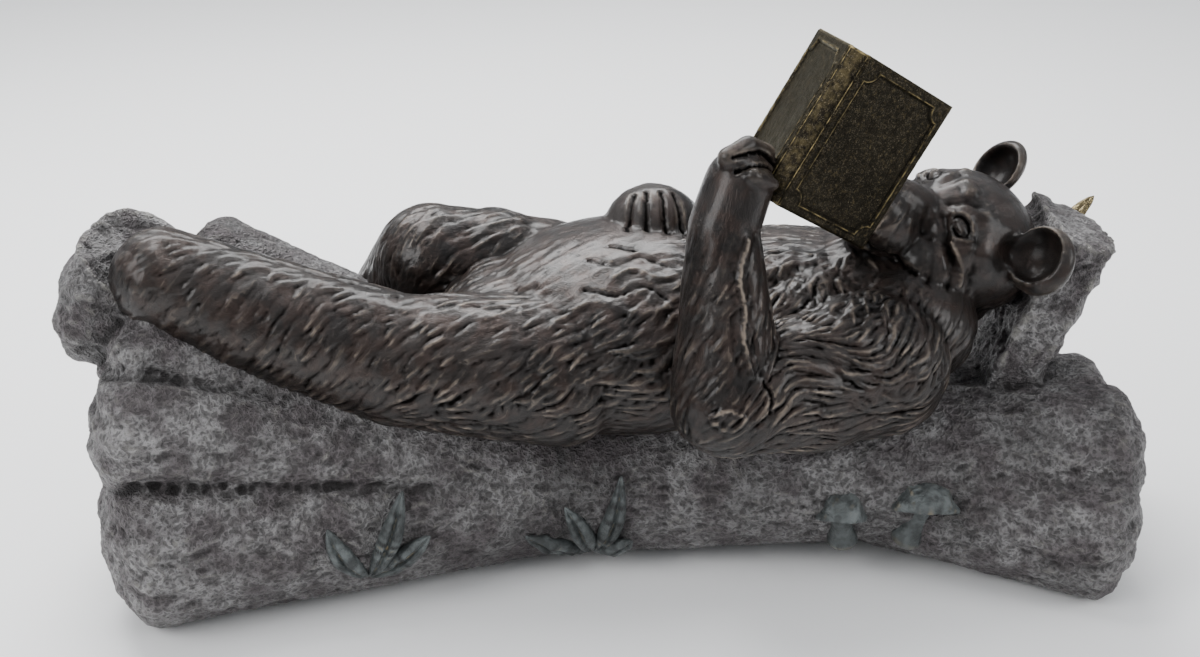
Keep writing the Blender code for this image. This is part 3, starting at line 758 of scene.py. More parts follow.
# How the fur lies: a place on the bear, the way the fur flows there, then the locks' height,
# length and half width in millimetres
FUR = (
    ((-0.440, -0.120, 0.150), (-0.80, -0.20, -0.45), 2.2, 34, 5.6),
    ((-0.360, -0.150, 0.060), (-0.66, -0.15, -0.70), 3.5, 44, 6.4),
    ((-0.280, -0.165, 0.020), (-0.68, -0.15, -0.68), 4.0, 48, 6.4),
    ((-0.230, -0.110, 0.110), (-0.74, -0.30, -0.55), 2.8, 46, 6.2),
    ((-0.120, -0.170, 0.020), (-0.72, -0.15, -0.64), 4.4, 50, 6.4),
    ((-0.080, -0.110, 0.110), (-0.80, -0.30, -0.40), 2.8, 46, 6.2),
    ((0.000, -0.160, 0.020), (-0.76, -0.15, -0.60), 4.6, 52, 6.6),
    ((0.060, -0.150, 0.070), (-0.80, -0.15, -0.52), 4.2, 48, 6.2),
    ((0.040, -0.060, 0.150), (-0.92, -0.30, -0.15), 1.2, 44, 6.2),
    ((0.060, 0.080, 0.130), (-1.00, 0.30, 0.00), 0.9, 46, 6.1),
    ((-0.180, 0.020, 0.120), (-0.80, -0.30, -0.50), 2.6, 51, 4.6),
    ((-0.120, 0.060, 0.150), (-0.90, -0.20, -0.30), 2.5, 51, 4.6),
    ((-0.240, 0.120, 0.060), (-0.40, 0.20, -0.90), 2.5, 44, 4.6),
    ((-0.100, 0.150, 0.060), (-0.60, 0.40, -0.70), 3.2, 46, 5.1),
    ((-0.290, 0.170, -0.030), (-0.60, 0.20, -0.70), 0.9, 34, 4.6),
    ((0.120, -0.190, 0.100), (-0.30, -0.10, -0.95), 2.6, 46, 5.2),
    ((0.110, -0.150, 0.170), (-0.25, -0.10, -0.95), 2.2, 46, 5.2),
    ((0.130, -0.110, 0.250), (-0.20, -0.10, -0.90), 0.3, 28, 4.2),
    ((0.120, -0.210, 0.020), (-0.70, -0.20, -0.50), 2.5, 39, 4.6),
    ((0.170, -0.170, 0.010), (-0.95, -0.10, 0.10), 4.0, 66, 5.4),
    ((0.220, -0.180, 0.020), (-0.98, -0.05, 0.12), 5.7, 80, 5.6),
    ((0.280, -0.150, 0.000), (-0.96, -0.10, -0.10), 5.7, 84, 5.6),
    ((0.330, -0.120, 0.030), (-0.75, -0.20, -0.60), 5.3, 76, 5.6),
    ((0.180, -0.120, 0.100), (-0.35, -0.40, -0.80), 5.3, 37, 5.1),
    ((0.240, -0.080, 0.120), (-0.30, -0.45, -0.85), 5.1, 44, 5.6),
    ((0.300, -0.110, 0.090), (-0.45, -0.35, -0.80), 4.8, 52, 5.6),
    ((0.380, -0.070, 0.050), (-0.75, -0.20, -0.60), 3.5, 52, 5.4),
    ((0.420, -0.040, 0.040), (-0.70, -0.20, -0.65), 2.7, 41, 4.6),
    ((0.200, 0.020, 0.140), (-0.80, 0.10, -0.20), 3.5, 39, 5.1),
    ((0.230, 0.120, 0.080), (-0.70, 0.40, -0.50), 4.4, 46, 5.1),
    ((0.150, 0.200, 0.040), (-0.60, 0.20, -0.30), 3.5, 44, 4.6),
    ((0.330, 0.110, 0.040), (-0.70, 0.30, -0.50), 4.8, 48, 5.1),
    ((0.100, 0.170, 0.070), (-0.30, -0.60, 0.50), 1.9, 39, 4.2),
    ((0.060, 0.060, 0.160), (0.0, -0.8, 0.2), 0.0, 28, 4.2),
    ((0.400, 0.016, 0.190), (0.60, 0.00, 0.60), 0.9, 44, 5.2),
    ((0.350, -0.010, 0.180), (0.60, 0.00, 0.60), 0.0, 34, 4.2),
    ((0.320, -0.020, 0.150), (0.60, 0.00, 0.60), 0.0, 34, 4.2),
    ((0.370, -0.050, 0.120), (-0.40, -0.50, -0.80), 0.4, 34, 4.2),
    ((0.430, -0.070, 0.130), (-0.40, -0.50, -0.80), 0.0, 34, 4.2),
    ((0.440, 0.100, 0.190), (-0.40, -0.50, -0.80), 0.0, 34, 4.2),
    ((0.400, 0.090, 0.120), (-0.60, 0.40, -0.70), 2.3, 39, 4.6),
    ((0.215, -0.172, 0.078), (-0.85, -0.10, 0.40), 5.1, 72, 5.4),
    ((0.150, -0.200, 0.060), (-0.50, 0.00, -0.80), 2.3, 44, 4.4),
    ((-0.400, -0.100, 0.160), (-0.75, -0.20, -0.55), 2.5, 42, 6.2),
    ((-0.320, -0.100, 0.140), (-0.72, -0.20, -0.60), 2.6, 44, 6.2),
    ((0.352, -0.104, 0.092), (-0.55, -0.30, -0.75), 4.2, 50, 5.2),
    ((0.395, -0.100, 0.075), (-0.60, -0.25, -0.72), 3.8, 48, 5.2),
)
FUR_REACH = 0.020
LOCK_PACE = 0.0032  # from one step along a lock to the next, in metres
LOCK_HOLDS = 0.62  # the share of a lock where no other starts
FUR_HOLLOW, FUR_DEEP = 0.00042, 0.004  # as for the bark


class Coat:
    """Tells how the fur lies at any place, from the guides around it."""

    def __init__(self):
        self.places = np.array([on_bear(place) for place, *_ in FUR])
        self.flows = np.array([Vector(flow).normalized() for _, flow, *_ in FUR])
        self.sizes = np.array([guide[2:] for guide in FUR]) / 1000

    def at(self, place):
        distance = ((self.places - np.array(place)) ** 2).sum(1) + FUR_REACH**2
        weights = distance**-2.0
        weights /= weights.sum()
        return Vector(weights @ self.flows), weights @ self.sizes


def lay_lock(skin, coat, relief, taken, start, hold, wave, stretch, lift):
    """Raises one lock: low at its root, high before its pointed tip. No other starts on its first part."""
    place = Vector(skin.places[start])
    normal = Vector(skin.normals[start])
    _, (height, length, width) = coat.at(place)
    steps = math.ceil(length * stretch / LOCK_PACE)
    for step in range(steps + 1):
        share = step / steps
        flow, _ = coat.at(place)
        turn = Matrix.Rotation(wave * math.sin(math.tau * (share * 0.9 + 0.1)), 3, normal)
        along = turn @ (flow - normal * normal.dot(flow)).normalized()
        spread = width * min(1.0, 0.45 + 1.6 * share) * (1.0 - 0.75 * max(0.0, share - 0.55) / 0.45)
        rise = height * lift * (0.25 + 0.75 * min(1.0, share / 0.6))
        rise *= 1.0 - 0.5 * max(0.0, share - 0.8) / 0.2
        for spot, index, distance in skin.tree.find_range(place, max(spread, LOCK_PACE)):
            ahead = (spot - place).dot(along)
            aside = max(0.0, distance * distance - ahead * ahead) / spread**2
            if abs(ahead) > LOCK_PACE or aside > 1.0:
                continue
            here = rise * (1.0 - aside)
            if here > relief[index]:
                relief[index] = here
            if share < LOCK_HOLDS and distance < spread * hold:
                taken[index] = True
        place, index, _ = skin.tree.find(place + along * LOCK_PACE)
        normal = Vector(skin.normals[index])


def comb(skin, hold):
    """Covers the bear with locks that lie side by side and curve together, and returns their relief."""
    coat = Coat()
    draw = np.random.default_rng(11)
    relief = np.zeros(len(skin.places))
    taken = np.zeros(len(skin.places), bool)
    for start in draw.permutation(len(skin.places)):
        if taken[start]:
            continue
        place = skin.places[start]
        _, (height, _, width) = coat.at(place)
        wave = 1.1 * noise.noise(Vector(place) * 11) + draw.normal(0.0, 0.12)
        stretch, lift = draw.uniform(0.8, 1.2), draw.uniform(0.75, 1.25)
        near = skin.tree.find_range(place, width * 0.8)
        taken[[index for _, index, _ in near]] = True
        if height > 0.0002:
            lay_lock(skin, coat, relief, taken, start, hold, wave, stretch, lift)
    heights = np.array([coat.at(place)[1][0] for place in skin.places])
    return relief - heights * 0.5


# Pressed or raised forms of the face: place, radii and height in mm.
# Places are forward, left and up on the face.
FACE_DABS = {
    "eye socket": ((0.066, 0.041, 0.022), (0.021, 0.022, 0.02), -3.6),
    "brow knot": ((0.0564, 0.0062, 0.046), (0.014, 0.012, 0.014), 4.5),
    "outer brow": ((0.044, 0.032, 0.047), (0.016, 0.013, 0.013), 4.0),
    "temple": ((0.018, 0.062, 0.036), (0.028, 0.026, 0.026), -3.5),
    "cheekbone": ((0.03, 0.064, 0.02), (0.022, 0.022, 0.02), 2.6),
    "muzzle side": ((0.092, 0.034, -0.006), (0.024, 0.02, 0.022), -2.6),
    "nostril": ((0.17, 0.011, -0.012), (0.007, 0.006, 0.007), -4.0),
}
EYE = (0.0635, 0.0425, 0.0225)
EYE_CORNERS = ((0.0745, 0.0290, 0.026), (0.0520, 0.0560, 0.019))
EYE_HEIGHT = 0.0068
EYE_RADII = (0.0068, 0.0112, 0.0068)  # across the lids, between the corners and outward
FAR_SIDE_STRENGTH = 0.5  # the far side of the face is plainer
# Ridges and grooves of the face: points, half width in mm and height in mm.
# Points are in thousandths of the bear's length, forward, left and up on the face.
FACE_LINES = {
    "upper lid": (((74.5, 29, 26), (65.5, 32.5, 33), (57.3, 43, 33), (51.5, 56, 20)), 3.4, 2.8),
    "lower lid": (((74.5, 30, 25), (69.5, 40, 15), (60, 51, 11), (52, 56.5, 18)), 3.4, 2.4),
    "brow furrow": (((74, 15, 28), (62, 19, 41), (52.1, 26, 45), (41, 30, 50)), 8.0, -3.2),
    "fold below eye": (
        ((79, 28, 16), (70, 44, 6), (60, 59, -2), (52, 71, -12), (47.5, 79.1, -24)),
        8.0,
        -3.4,
    ),
    "ridge below eye": (((62, 53, 7), (52.9, 62.2, 4), (43, 71, -4), (37, 79, -18)), 5.0, 2.6),
    "fold behind eye": (((46, 59, 20), (42, 66, 12), (32, 73, 1), (22, 77.4, -15)), 7.0, -2.2),
    "cheek groove": (((90, 20, 8), (85, 34, 0), (78, 52, -8), (72, 66, -20), (68, 77.5, -34)), 8.0, -2.4),
    "mouth": (
        ((150, 12, -50), (125, 22, -48), (107.4, 30, -42), (94.8, 40, -43), (85, 54.2, -43), (76, 64, -40)),
        4.5,
        -2.8,
    ),
    "lower lip": (((140, 14, -62), (110, 26, -58), (94, 40, -56), (82, 54, -55)), 4.4, 2.0),
}
# Ridges and grooves of the body, in thousandths of the bear's length
BODY_LINES = {
    "forearm ridge": (
        ((140, -158, 200), (131, -180, 172), (136, -190, 143), (134, -200, 112), (143, -212, 78)),
        4.2,
        3.2,
    ),
    "left of the ridge": (
        ((128, -160, 200), (119, -182, 172), (124, -192, 143), (122, -202, 112), (131, -214, 78)),
        5.0,
        -1.2,
    ),
    "right of the ridge": (
        ((150, -152, 200), (141, -176, 172), (146, -186, 143), (144, -196, 112), (153, -206, 78)),
        4.6,
        -1.4,
    ),
    "elbow crack": (((152, -205, 70), (160, -210, 56), (157, -212, 40)), 3.0, -3.0),
    "elbow boss": (
        ((100, -222, 40), (118, -226, 48), (134, -224, 38), (120, -226, 26), (102, -222, 36)),
        3.6,
        2.2,
    ),
    "belly wrinkle 1": (((-15, -54, 142), (14, -68, 139), (40, -56, 141), (66, -68, 138)), 4.5, -2.0),
    "belly wrinkle 2": (((10, -84, 133), (34, -74, 135), (56, -86, 131), (78, -78, 130)), 5.0, 2.0),
    "belly wrinkle 3": (((-20, -94, 124), (14, -104, 121), (42, -94, 123), (66, -108, 116)), 4.5, -2.4),
    "belly wrinkle 4": (((-50, -124, 106), (-10, -108, 115), (30, -122, 108), (66, -114, 110)), 6.0, 1.8),
    "belly crack": (((8, -36, 150), (20, -40, 149), (36, -46, 147)), 2.6, -2.4),
    "groin crease": (((-190, -70, 112), (-150, -76, 112), (-110, -80, 110), (-80, -84, 110)), 5.0, -2.8),
    "knuckle groove 1": (((120, -116, 284), (141, -103, 286), (156, -97, 281), (166, -90, 268)), 2.8, -4.4),
    "knuckle groove 2": (
        ((122, -126, 274), (143, -117, 277), (157, -108, 270), (166, -98, 256)),
        2.8,
        -4.4,
    ),
    "knuckle groove 3": (
        ((126, -134, 262), (143, -128, 264), (157, -116, 258), (166, -104, 246)),
        2.8,
        -4.4,
    ),
}
FAR_PAW_GROOVES = (0.030, 0.050, 0.070, 0.090)  # places along the bear
CHEST_LUMPS = ((0.205, -0.062, 0.128), 0.060)  # their middle and reach


def carve_face(skin, relief):
    """Adds the face's dents, ridges, folds and eyes to the relief, on both sides."""
    for side in (1, -1):
        for (forward, left, up), radii, height in FACE_DABS.values():
            centre = skin.tree.find(on_face((forward, left * side, up)))[0]
            skin.dab(relief, centre, on_bear_size(radii), face_axes(), height / 1000)
        strength = 1.0 if side > 0 else FAR_SIDE_STRENGTH
        for points, width, height in FACE_LINES.values():
            points = [on_face((x / 1000, y * side / 1000, z / 1000)) for x, y, z in points]
            skin.line(relief, points, width / 1000, height / 1000 * strength)
        inner, outer = (on_face((x, y * side, z)) for x, y, z in EYE_CORNERS)
        middle, index, _ = skin.tree.find(on_face((EYE[0], EYE[1] * side, EYE[2])))
        axes = axes_along(Vector(skin.normals[index]), outer - inner)
        radii = on_bear_size((EYE_RADII[1], EYE_RADII[0], EYE_RADII[2]))
        skin.dab(relief, middle, radii, axes, EYE_HEIGHT, True)


def carve_body(skin, relief):
    """Adds the body's ridges, creases and paw grooves and the lumpy fur of the chest."""
    for points, width, height in BODY_LINES.values():
        points = [on_bear(Vector(point) / 1000) for point in points]
        skin.line(relief, points, width / 1000, height / 1000)
    for along in FAR_PAW_GROOVES:
        middle = 0.060 + (along - 0.060) * 0.8
        points = ((middle, 0.040, 0.180), (along, 0.020, 0.168), (along, 0.006, 0.146), (along, 0.000, 0.120))
        skin.line(relief, [on_bear(p) for p in points], 0.0042, -0.0034)
    centre, reach = CHEST_LUMPS
    away = np.linalg.norm(skin.places - np.array(on_bear(centre)), axis=1) / (reach * BEAR_LENGTH)
    for index in np.flatnonzero(away < 1.0):
        place = skin.places[index]
        lump = 1.0 - abs(noise.noise(Vector(place) * 42)) * 3.0 + 0.5 * noise.noise(Vector(place) * 95)
        relief[index] += 0.0034 * lump * (1.0 - away[index] ** 2)


def clear_pages(skin):
    """Moves the muzzle's skin off the near cover's pages, which it would otherwise run into."""
    cover = book_matrix() @ cover_swing()
    turn, corner = np.array(cover.to_3x3()), np.array(cover.translation)
    local = (skin.places - corner) @ turn
    inner = COVER_THICKNESS + PAGE_DEPTH + PAGE_GAP
    over = (local[:, 0] > BOOK_SPINE * 2) & (local[:, 0] < BOOK_WIDTH + PAGE_GAP)
    over &= (np.abs(local[:, 2]) < BOOK_HEIGHT / 2 + PAGE_GAP) & (local[:, 1] > 0) & (local[:, 1] < inner)
    local[over, 1] = inner
    places = skin.places.copy()
    places[over] = local[over] @ turn.T + corner
    skin.put(places)


def build_bear(sizes):
    """Fuses the bear, cups its ears, combs and carves it, then thins it."""
    piece = new_piece("bear_casting", bear_clay())
    fuse(piece, sizes.bear_grain)
    skin = Skin(piece)
    skin.soften(4)
    cups = []
    forward, left, up = EAR
    for side in (1, -1):
        out = ear_axes(side).col[0] * EAR_THICKNESS * EAR_CUP_MOUTH * BEAR_LENGTH
        size = EAR_RADIUS * EAR_CUP
        radii = on_bear_size((EAR_THICKNESS * EAR_CUP_DEPTH, size, size))
        inward = ear_axes(side).col[1] * -side * EAR_RADIUS * EAR_CUP_SHIFT * BEAR_LENGTH
        cups.append((on_head((forward, side * left, up)) + out + inward, radii, ear_axes(side)))
        skin.press(*cups[-1])
    fuse(piece, sizes.bear_grain)
    skin = Skin(piece)
    skin.soften(3)
    skin.plant()
    relief = comb(skin, sizes.lock_room)
    carve_face(skin, relief)
    carve_body(skin, relief)
    skin.raise_by(relief)
    skin.soften(1)
    clear_pages(skin)
    skin.plant()
    # Depths that give raised places rubbed wear and painted highlights, and hollows grime and painted shade
    worn = {
        "hollow": skin.hollows(3) / FUR_HOLLOW,
        "deep": skin.hollows(24) / FUR_DEEP,
    }
    # The ear cups are darkened further with grime and painted shade
    for centre, radii, axes in cups:
        skin.dab(worn["deep"], centre, np.array(radii) * 1.02, axes, CUP_GRIME_AND_SHADE, True)
    thin(piece, MOST_TRIANGLES)
    carry_over(skin, worn, piece)
    return piece


# The book: two covers and a rounded spine, with the pages lying on the covers

BOOK_HEIGHT = 0.160
BOOK_WIDTH = 0.1250
BOOK_SPINE = 0.0215
BOOK_OPENING = 66.0
COVER_THICKNESS = 0.004
PAGE_DEPTH = 0.010
PAGE_INSET = 0.004
PAGE_LAYER = 0.00025  # depth of the lines between the leaves
PAGE_GAP = 0.0012  # between the pages and the muzzle
SPINE_DEPTH = 0.009
SPINE_OVERLAP = 0.003
SPINE_SHORTER = 0.0006
SPINE_PROUD = 0.0003
SPINE_ROUND = 0.0075
BOOK_PLACE = (0.1620, -0.1160, 0.2260)
BOOK_UP = Vector((0.512, 0.154, 0.845))
BOOK_OPENS_TO = Vector((0.405, 0.824, -0.396))
BORDER = 0.0095  # from the cover's edge to the bead
CORNER = 0.013  # radius of the notch at each corner of the panel
BEAD_WIDTH = 0.0011
PANEL_STEP = 0.0008
GROOVE_WIDTH = 0.0010
GROOVE_INSET = 0.0026  # from the bead to the groove inside it
EDGE_WEAR = 0.0014


def book_matrix():
    """Where the book stands in the near paw: its spine's foot, turned up and open."""
    up = BOOK_UP.normalized()
    opens = (BOOK_OPENS_TO - up * up.dot(BOOK_OPENS_TO)).normalized()
    turn = Matrix((opens.cross(up), opens, up)).transposed().to_4x4()
    return Matrix.Translation(on_bear(BOOK_PLACE) + up * BOOK_HEIGHT / 2) @ turn


def cover_swing():
    """Where the near cover stands: turned out from the spine about its hinge."""
    swing = Matrix.Rotation(math.radians(90 - BOOK_OPENING / 2), 4, "Z")
    return Matrix.Translation((BOOK_SPINE / 2, 0, 0)) @ swing


def panel_distance(u, v):
    """Distance outside the panel, which is a rectangle with its corners notched."""
    half_width, half_height = BOOK_WIDTH / 2 - BORDER, BOOK_HEIGHT / 2 - BORDER
    inside = max(abs(u) - half_width, abs(v) - half_height)
    notch = CORNER - math.hypot(abs(u) - half_width, abs(v) - half_height)
    return max(inside, notch)


def cover_face(clay, relief):
    """A cover lying in X and Z with its outer face toward -Y and its hinge at X zero."""
    columns, rows = (132, 168) if FINE else (66, 84)
    size = Matrix.Diagonal((BOOK_WIDTH / 2, BOOK_HEIGHT / 2, 1, 1))
    place = Matrix.Rotation(math.radians(90), 4, "X") @ size
    made = bmesh.ops.create_grid(clay, x_segments=columns, y_segments=rows, size=1.0, matrix=place)
    faces = clay.faces[:]
    lifted = bmesh.ops.extrude_face_region(clay, geom=faces)["geom"]
    back = [v for v in lifted if isinstance(v, bmesh.types.BMVert)]
    bmesh.ops.translate(clay, verts=back, vec=(0, COVER_THICKNESS, 0))
    for vert in made["verts"]:
        u, v = vert.co.x, vert.co.z
        outside = panel_distance(u, v)
        bead = math.exp(-((outside / BEAD_WIDTH) ** 2))
        sunk = 0.5 - 0.5 * math.tanh(outside / PANEL_STEP)
        groove = math.exp(-(((outside + GROOVE_INSET) / GROOVE_WIDTH) ** 2))
        edge = min(BOOK_WIDTH / 2 - abs(u), BOOK_HEIGHT / 2 - abs(v))
        worn = math.exp(-((edge / EDGE_WEAR) ** 2))
        lump = noise.noise(Vector((u, v, 0)) * 130) * 0.25
        vert.co.y -= relief * (bead - 0.7 * sunk - 0.5 * groove + lump) - worn * relief * 1.2
    bmesh.ops.recalc_face_normals(clay, faces=clay.faces)
    bmesh.ops.translate(clay, verts=clay.verts, vec=(BOOK_WIDTH / 2, 0, 0))


def page_block(clay):
    """The pages on one cover: a block that swells from the spine and thins to its edge."""
    bmesh.ops.create_cube(clay, size=1.0)
    bmesh.ops.subdivide_edges(clay, edges=clay.edges, cuts=23, use_grid_fill=True)
    width, height = BOOK_WIDTH - PAGE_INSET, BOOK_HEIGHT - 2 * PAGE_INSET
    for vert in clay.verts:
        x, y, z = vert.co
        share = x + 0.5
        depth = PAGE_DEPTH * (0.92 + 0.14 * math.sin(math.pi * share**0.6) - 0.22 * share**5)
        on_edge = max(abs(x), abs(z)) > 0.499
        layer = PAGE_LAYER * math.sin((y + 0.5) * 75) if on_edge else 0.0
        vert.co = Vector((share * (width + layer * 40), (y + 0.5) * depth, z * (height + layer * 4)))
    bmesh.ops.translate(clay, verts=clay.verts, vec=(0, COVER_THICKNESS * 0.9, 0))


def rounded_spine(clay):
    """The spine: a block a little wider than the gap between the covers, round along its outer edges."""
    size = Matrix.Diagonal((BOOK_SPINE + SPINE_OVERLAP, SPINE_DEPTH, BOOK_HEIGHT - SPINE_SHORTER, 1))
    lift = Matrix.Translation((0, SPINE_DEPTH / 2 - SPINE_PROUD, 0))
    bmesh.ops.create_cube(clay, size=1.0, matrix=lift @ size)
    outer = [e for e in clay.edges if all(v.co.y < 0 for v in e.verts)]
    upright = [e for e in outer if abs(e.verts[0].co.z - e.verts[1].co.z) > BOOK_HEIGHT / 2]
    bmesh.ops.bevel(
        clay, geom=upright, offset=SPINE_ROUND, affect="EDGES", segments=8, profile=0.5, material=-1
    )
    tall = [e for e in clay.edges if abs(e.verts[0].co.z - e.verts[1].co.z) > BOOK_HEIGHT / 2]
    bmesh.ops.subdivide_edges(clay, edges=tall, cuts=60, use_grid_fill=True)
    wide = [e for e in clay.edges if abs(e.verts[0].co.x - e.verts[1].co.x) > BOOK_SPINE / 2]
    bmesh.ops.subdivide_edges(clay, edges=wide, cuts=14, use_grid_fill=True)


def build_book(sizes):
    """The two covers with their pages, mirrored about the spine, and the spine."""
    pieces = []
    place = book_matrix()
    for side, name in ((1, "near"), (-1, "far")):
        for kind in ("cover", "pages"):
            clay = bmesh.new()
            if kind == "cover":
                cover_face(clay, sizes.border_relief)
            else:
                page_block(clay)
            bmesh.ops.transform(clay, matrix=cover_swing(), verts=clay.verts)
            if side < 0:
                bmesh.ops.scale(clay, vec=(-1, 1, 1), verts=clay.verts)
                bmesh.ops.reverse_faces(clay, faces=clay.faces)
            bmesh.ops.transform(clay, matrix=place, verts=clay.verts)
            pieces.append(new_piece(f"book_{kind}_{name}", clay))
    clay = bmesh.new()
    rounded_spine(clay)
    bmesh.ops.transform(clay, matrix=place, verts=clay.verts)
    pieces.append(new_piece("book_spine", clay))
    return pieces


# Materials


def put(tree, kind, inputs=None, **settings):
    """A node with its settings and inputs. An input is a value or another node's output."""
    node = tree.nodes.new(kind)
    for name, value in settings.items():
        setattr(node, name, value)
    for name, value in (inputs or {}).items():
        if isinstance(value, bpy.types.NodeSocket):
            tree.links.new(value, node.inputs[name])
        else:
            node.inputs[name].default_value = value
    return node


def scaled(tree, value, low, high, out_low=0.0, out_high=1.0):
    """A value's range mapped to another and held inside it."""
    names = {"Value": value, 1: low, 2: high, 3: out_low, 4: out_high}
    return put(tree, "ShaderNodeMapRange", names, clamp=True).outputs[0]


def blended(tree, factor, first, second):
    """Two colours mixed. Sockets 6 and 7 and output 2 are the Mix node's colours."""
    inputs = {0: factor, 6: first, 7: second}
    return put(tree, "ShaderNodeMix", inputs, data_type="RGBA").outputs[2]


def maths(tree, kind, first, second):
    return put(tree, "ShaderNodeMath", {0: first, 1: second}, operation=kind).outputs[0]


def new_group(name, inputs, outputs):
    """An empty shared effect with named inputs and outputs."""
    group = bpy.data.node_groups.new(name, "ShaderNodeTree")
    for title, kind, default in inputs:
        socket = group.interface.new_socket(title, in_out="INPUT", socket_type=kind)
        socket.default_value = default
    for title, kind in outputs:
        group.interface.new_socket(title, in_out="OUTPUT", socket_type=kind)
    start = group.nodes.new("NodeGroupInput").outputs
    end = group.nodes.new("NodeGroupOutput").inputs
    return group, start, end


def mottle_group():
    """Cloudy, blotchy and speckled masks at one scale."""
    group, start, end = new_group(
        "Mottle",
        [("Scale", "NodeSocketFloat", 20.0)],
        [("Clouds", "NodeSocketFloat"), ("Blotches", "NodeSocketFloat"), ("Specks", "NodeSocketFloat")],
    )
    place = put(group, "ShaderNodeTexCoord").outputs["Object"]
    layers = (
        ("Clouds", 1.0, 5.0, 0.35, 0.65),
        ("Blotches", 3.7, 6.0, 0.44, 0.60),
        ("Specks", 19.0, 3.0, 0.55, 0.70),
    )
    for count, (title, factor, detail, low, high) in enumerate(layers):
        scale = maths(group, "MULTIPLY", start["Scale"], factor)
        shift = put(group, "ShaderNodeVectorMath", {0: place, 1: (count * 3.1, 7.7, 1.3)}, operation="ADD")
        inputs = {"Vector": shift.outputs[0], "Scale": scale, "Detail": detail}
        grain = put(group, "ShaderNodeTexNoise", inputs)
        group.links.new(scaled(group, grain.outputs[0], low, high), end[title])
    return group


def wear_and_light_group():
    """Masks from the carving: raised places lightened as rubbed wear and as a painted highlight, and hollows
    darkened by grime and by painted shade.
    """
    group, start, end = new_group(
        "Wear And Light",
        [("Break Up", "NodeSocketFloat", 60.0)],
        [("Rubbed And Highlight", "NodeSocketFloat"), ("Grime And Shade", "NodeSocketFloat")],
    )
    hollow = put(group, "ShaderNodeAttribute", attribute_name="hollow").outputs["Fac"]
    deep = put(group, "ShaderNodeAttribute", attribute_name="deep").outputs["Fac"]
    place = put(group, "ShaderNodeTexCoord").outputs["Object"]
    inputs = {"Vector": place, "Scale": start["Break Up"], "Detail": 4.0}
    grain = put(group, "ShaderNodeTexNoise", inputs).outputs[0]
    both = maths(group, "ADD", hollow, maths(group, "MULTIPLY", deep, 0.8))
    # Rubbed: raised places, part rubbed wear and part painted highlight
    raised = maths(group, "MULTIPLY", scaled(group, both, -0.35, -1.6), scaled(group, grain, 0.40, 0.62))
    group.links.new(raised, end["Rubbed And Highlight"])
    # Grime: hollows, part grime and dark patina and part painted shade
    group.links.new(scaled(group, both, 0.05, 1.3), end["Grime And Shade"])
    return group


def grain_group():
    """The height of a casting's grain: fine bumps, worm-like crinkles and pits. Crests are near 1."""
    group, start, end = new_group(
        "Cast Grain",
        [
            ("Scale", "NodeSocketFloat", 200.0),
            ("Crinkle", "NodeSocketFloat", 1.0),
            ("Pits", "NodeSocketFloat", 1.0),
        ],
        [("Height", "NodeSocketFloat"), ("Crests", "NodeSocketFloat")],
    )
    place = put(group, "ShaderNodeTexCoord").outputs["Object"]
    inputs = {"Vector": place, "Scale": start["Scale"], "Detail": 5.0, "Roughness": 0.6}
    fine = put(group, "ShaderNodeTexNoise", inputs)
    worms = put(
        group,
        "ShaderNodeTexNoise",
        {
            "Vector": place,
            "Scale": maths(group, "MULTIPLY", start["Scale"], 0.42),
            "Detail": 3.0,
            "Roughness": 0.55,
            "Offset": 0.9,
            "Gain": 2.0,
            "Distortion": 0.35,
        },
        noise_type="RIDGED_MULTIFRACTAL",
    ).outputs[0]
    holes = put(
        group,
        "ShaderNodeTexVoronoi",
        {"Vector": place, "Scale": maths(group, "MULTIPLY", start["Scale"], 0.7)},
    ).outputs[0]
    crests = scaled(group, worms, 0.4, 2.4)
    crinkle = maths(group, "MULTIPLY", crests, start["Crinkle"])
    pit = maths(group, "MULTIPLY", scaled(group, holes, 0.03, 0.20, -1.0, 0.0), start["Pits"])
    total = maths(group, "ADD", maths(group, "ADD", fine.outputs[0], crinkle), pit)
    group.links.new(total, end["Height"])
    group.links.new(crests, end["Crests"])
    return group


def hair_group():
    """Fine hair lines drawn along the way the fur flows, from the flow stored on the surface."""
    group, start, end = new_group(
        "Hair Lines",
        [("Scale", "NodeSocketFloat", 260.0)],
        [("Height", "NodeSocketFloat")],
    )
    place = put(group, "ShaderNodeTexCoord").outputs["Object"]
    flow = put(group, "ShaderNodeAttribute", attribute_name="flow").outputs["Vector"]
    along = put(group, "ShaderNodeVectorMath", {0: place, 1: flow}, operation="DOT_PRODUCT").outputs["Value"]
    back = maths(group, "MULTIPLY", along, -0.86)
    reach = put(group, "ShaderNodeVectorMath", {0: flow, "Scale": back}, operation="SCALE")
    squeezed = put(group, "ShaderNodeVectorMath", {0: place, 1: reach.outputs[0]}, operation="ADD").outputs[0]
    lines = put(group, "ShaderNodeTexNoise", {"Vector": squeezed, "Scale": start["Scale"], "Detail": 3.0})
    group.links.new(lines.outputs[0], end["Height"])
    return group


class Groups:
    """The shared effects, each built once."""

    def __init__(self):
        self.mottle = mottle_group()
        self.wear_and_light = wear_and_light_group()
        self.grain = grain_group()
        self.hair = hair_group()


def use(tree, group, **inputs):
    """Places a shared effect in a material and returns its outputs."""
    node = tree.nodes.new("ShaderNodeGroup")
    node.node_tree = group
    for name, value in inputs.items():
        node.inputs[name.replace("_", " ")].default_value = value
    return node.outputs


def new_material(name):
    material = bpy.data.materials.new(name)
    material.use_nodes = True
    tree = material.node_tree
    return material, tree, tree.nodes["Principled BSDF"]


def bump(tree, shader, height, distance):
    """Gives a shader its fine relief, with its full height in metres."""
    node = put(tree, "ShaderNodeBump", {"Height": height, "Distance": distance})
    tree.links.new(node.outputs[0], shader.inputs["Normal"])


def darker(colour, share):
    """A colour times a share, which may also be above one."""
    return (*[c * share for c in colour], 1.0)


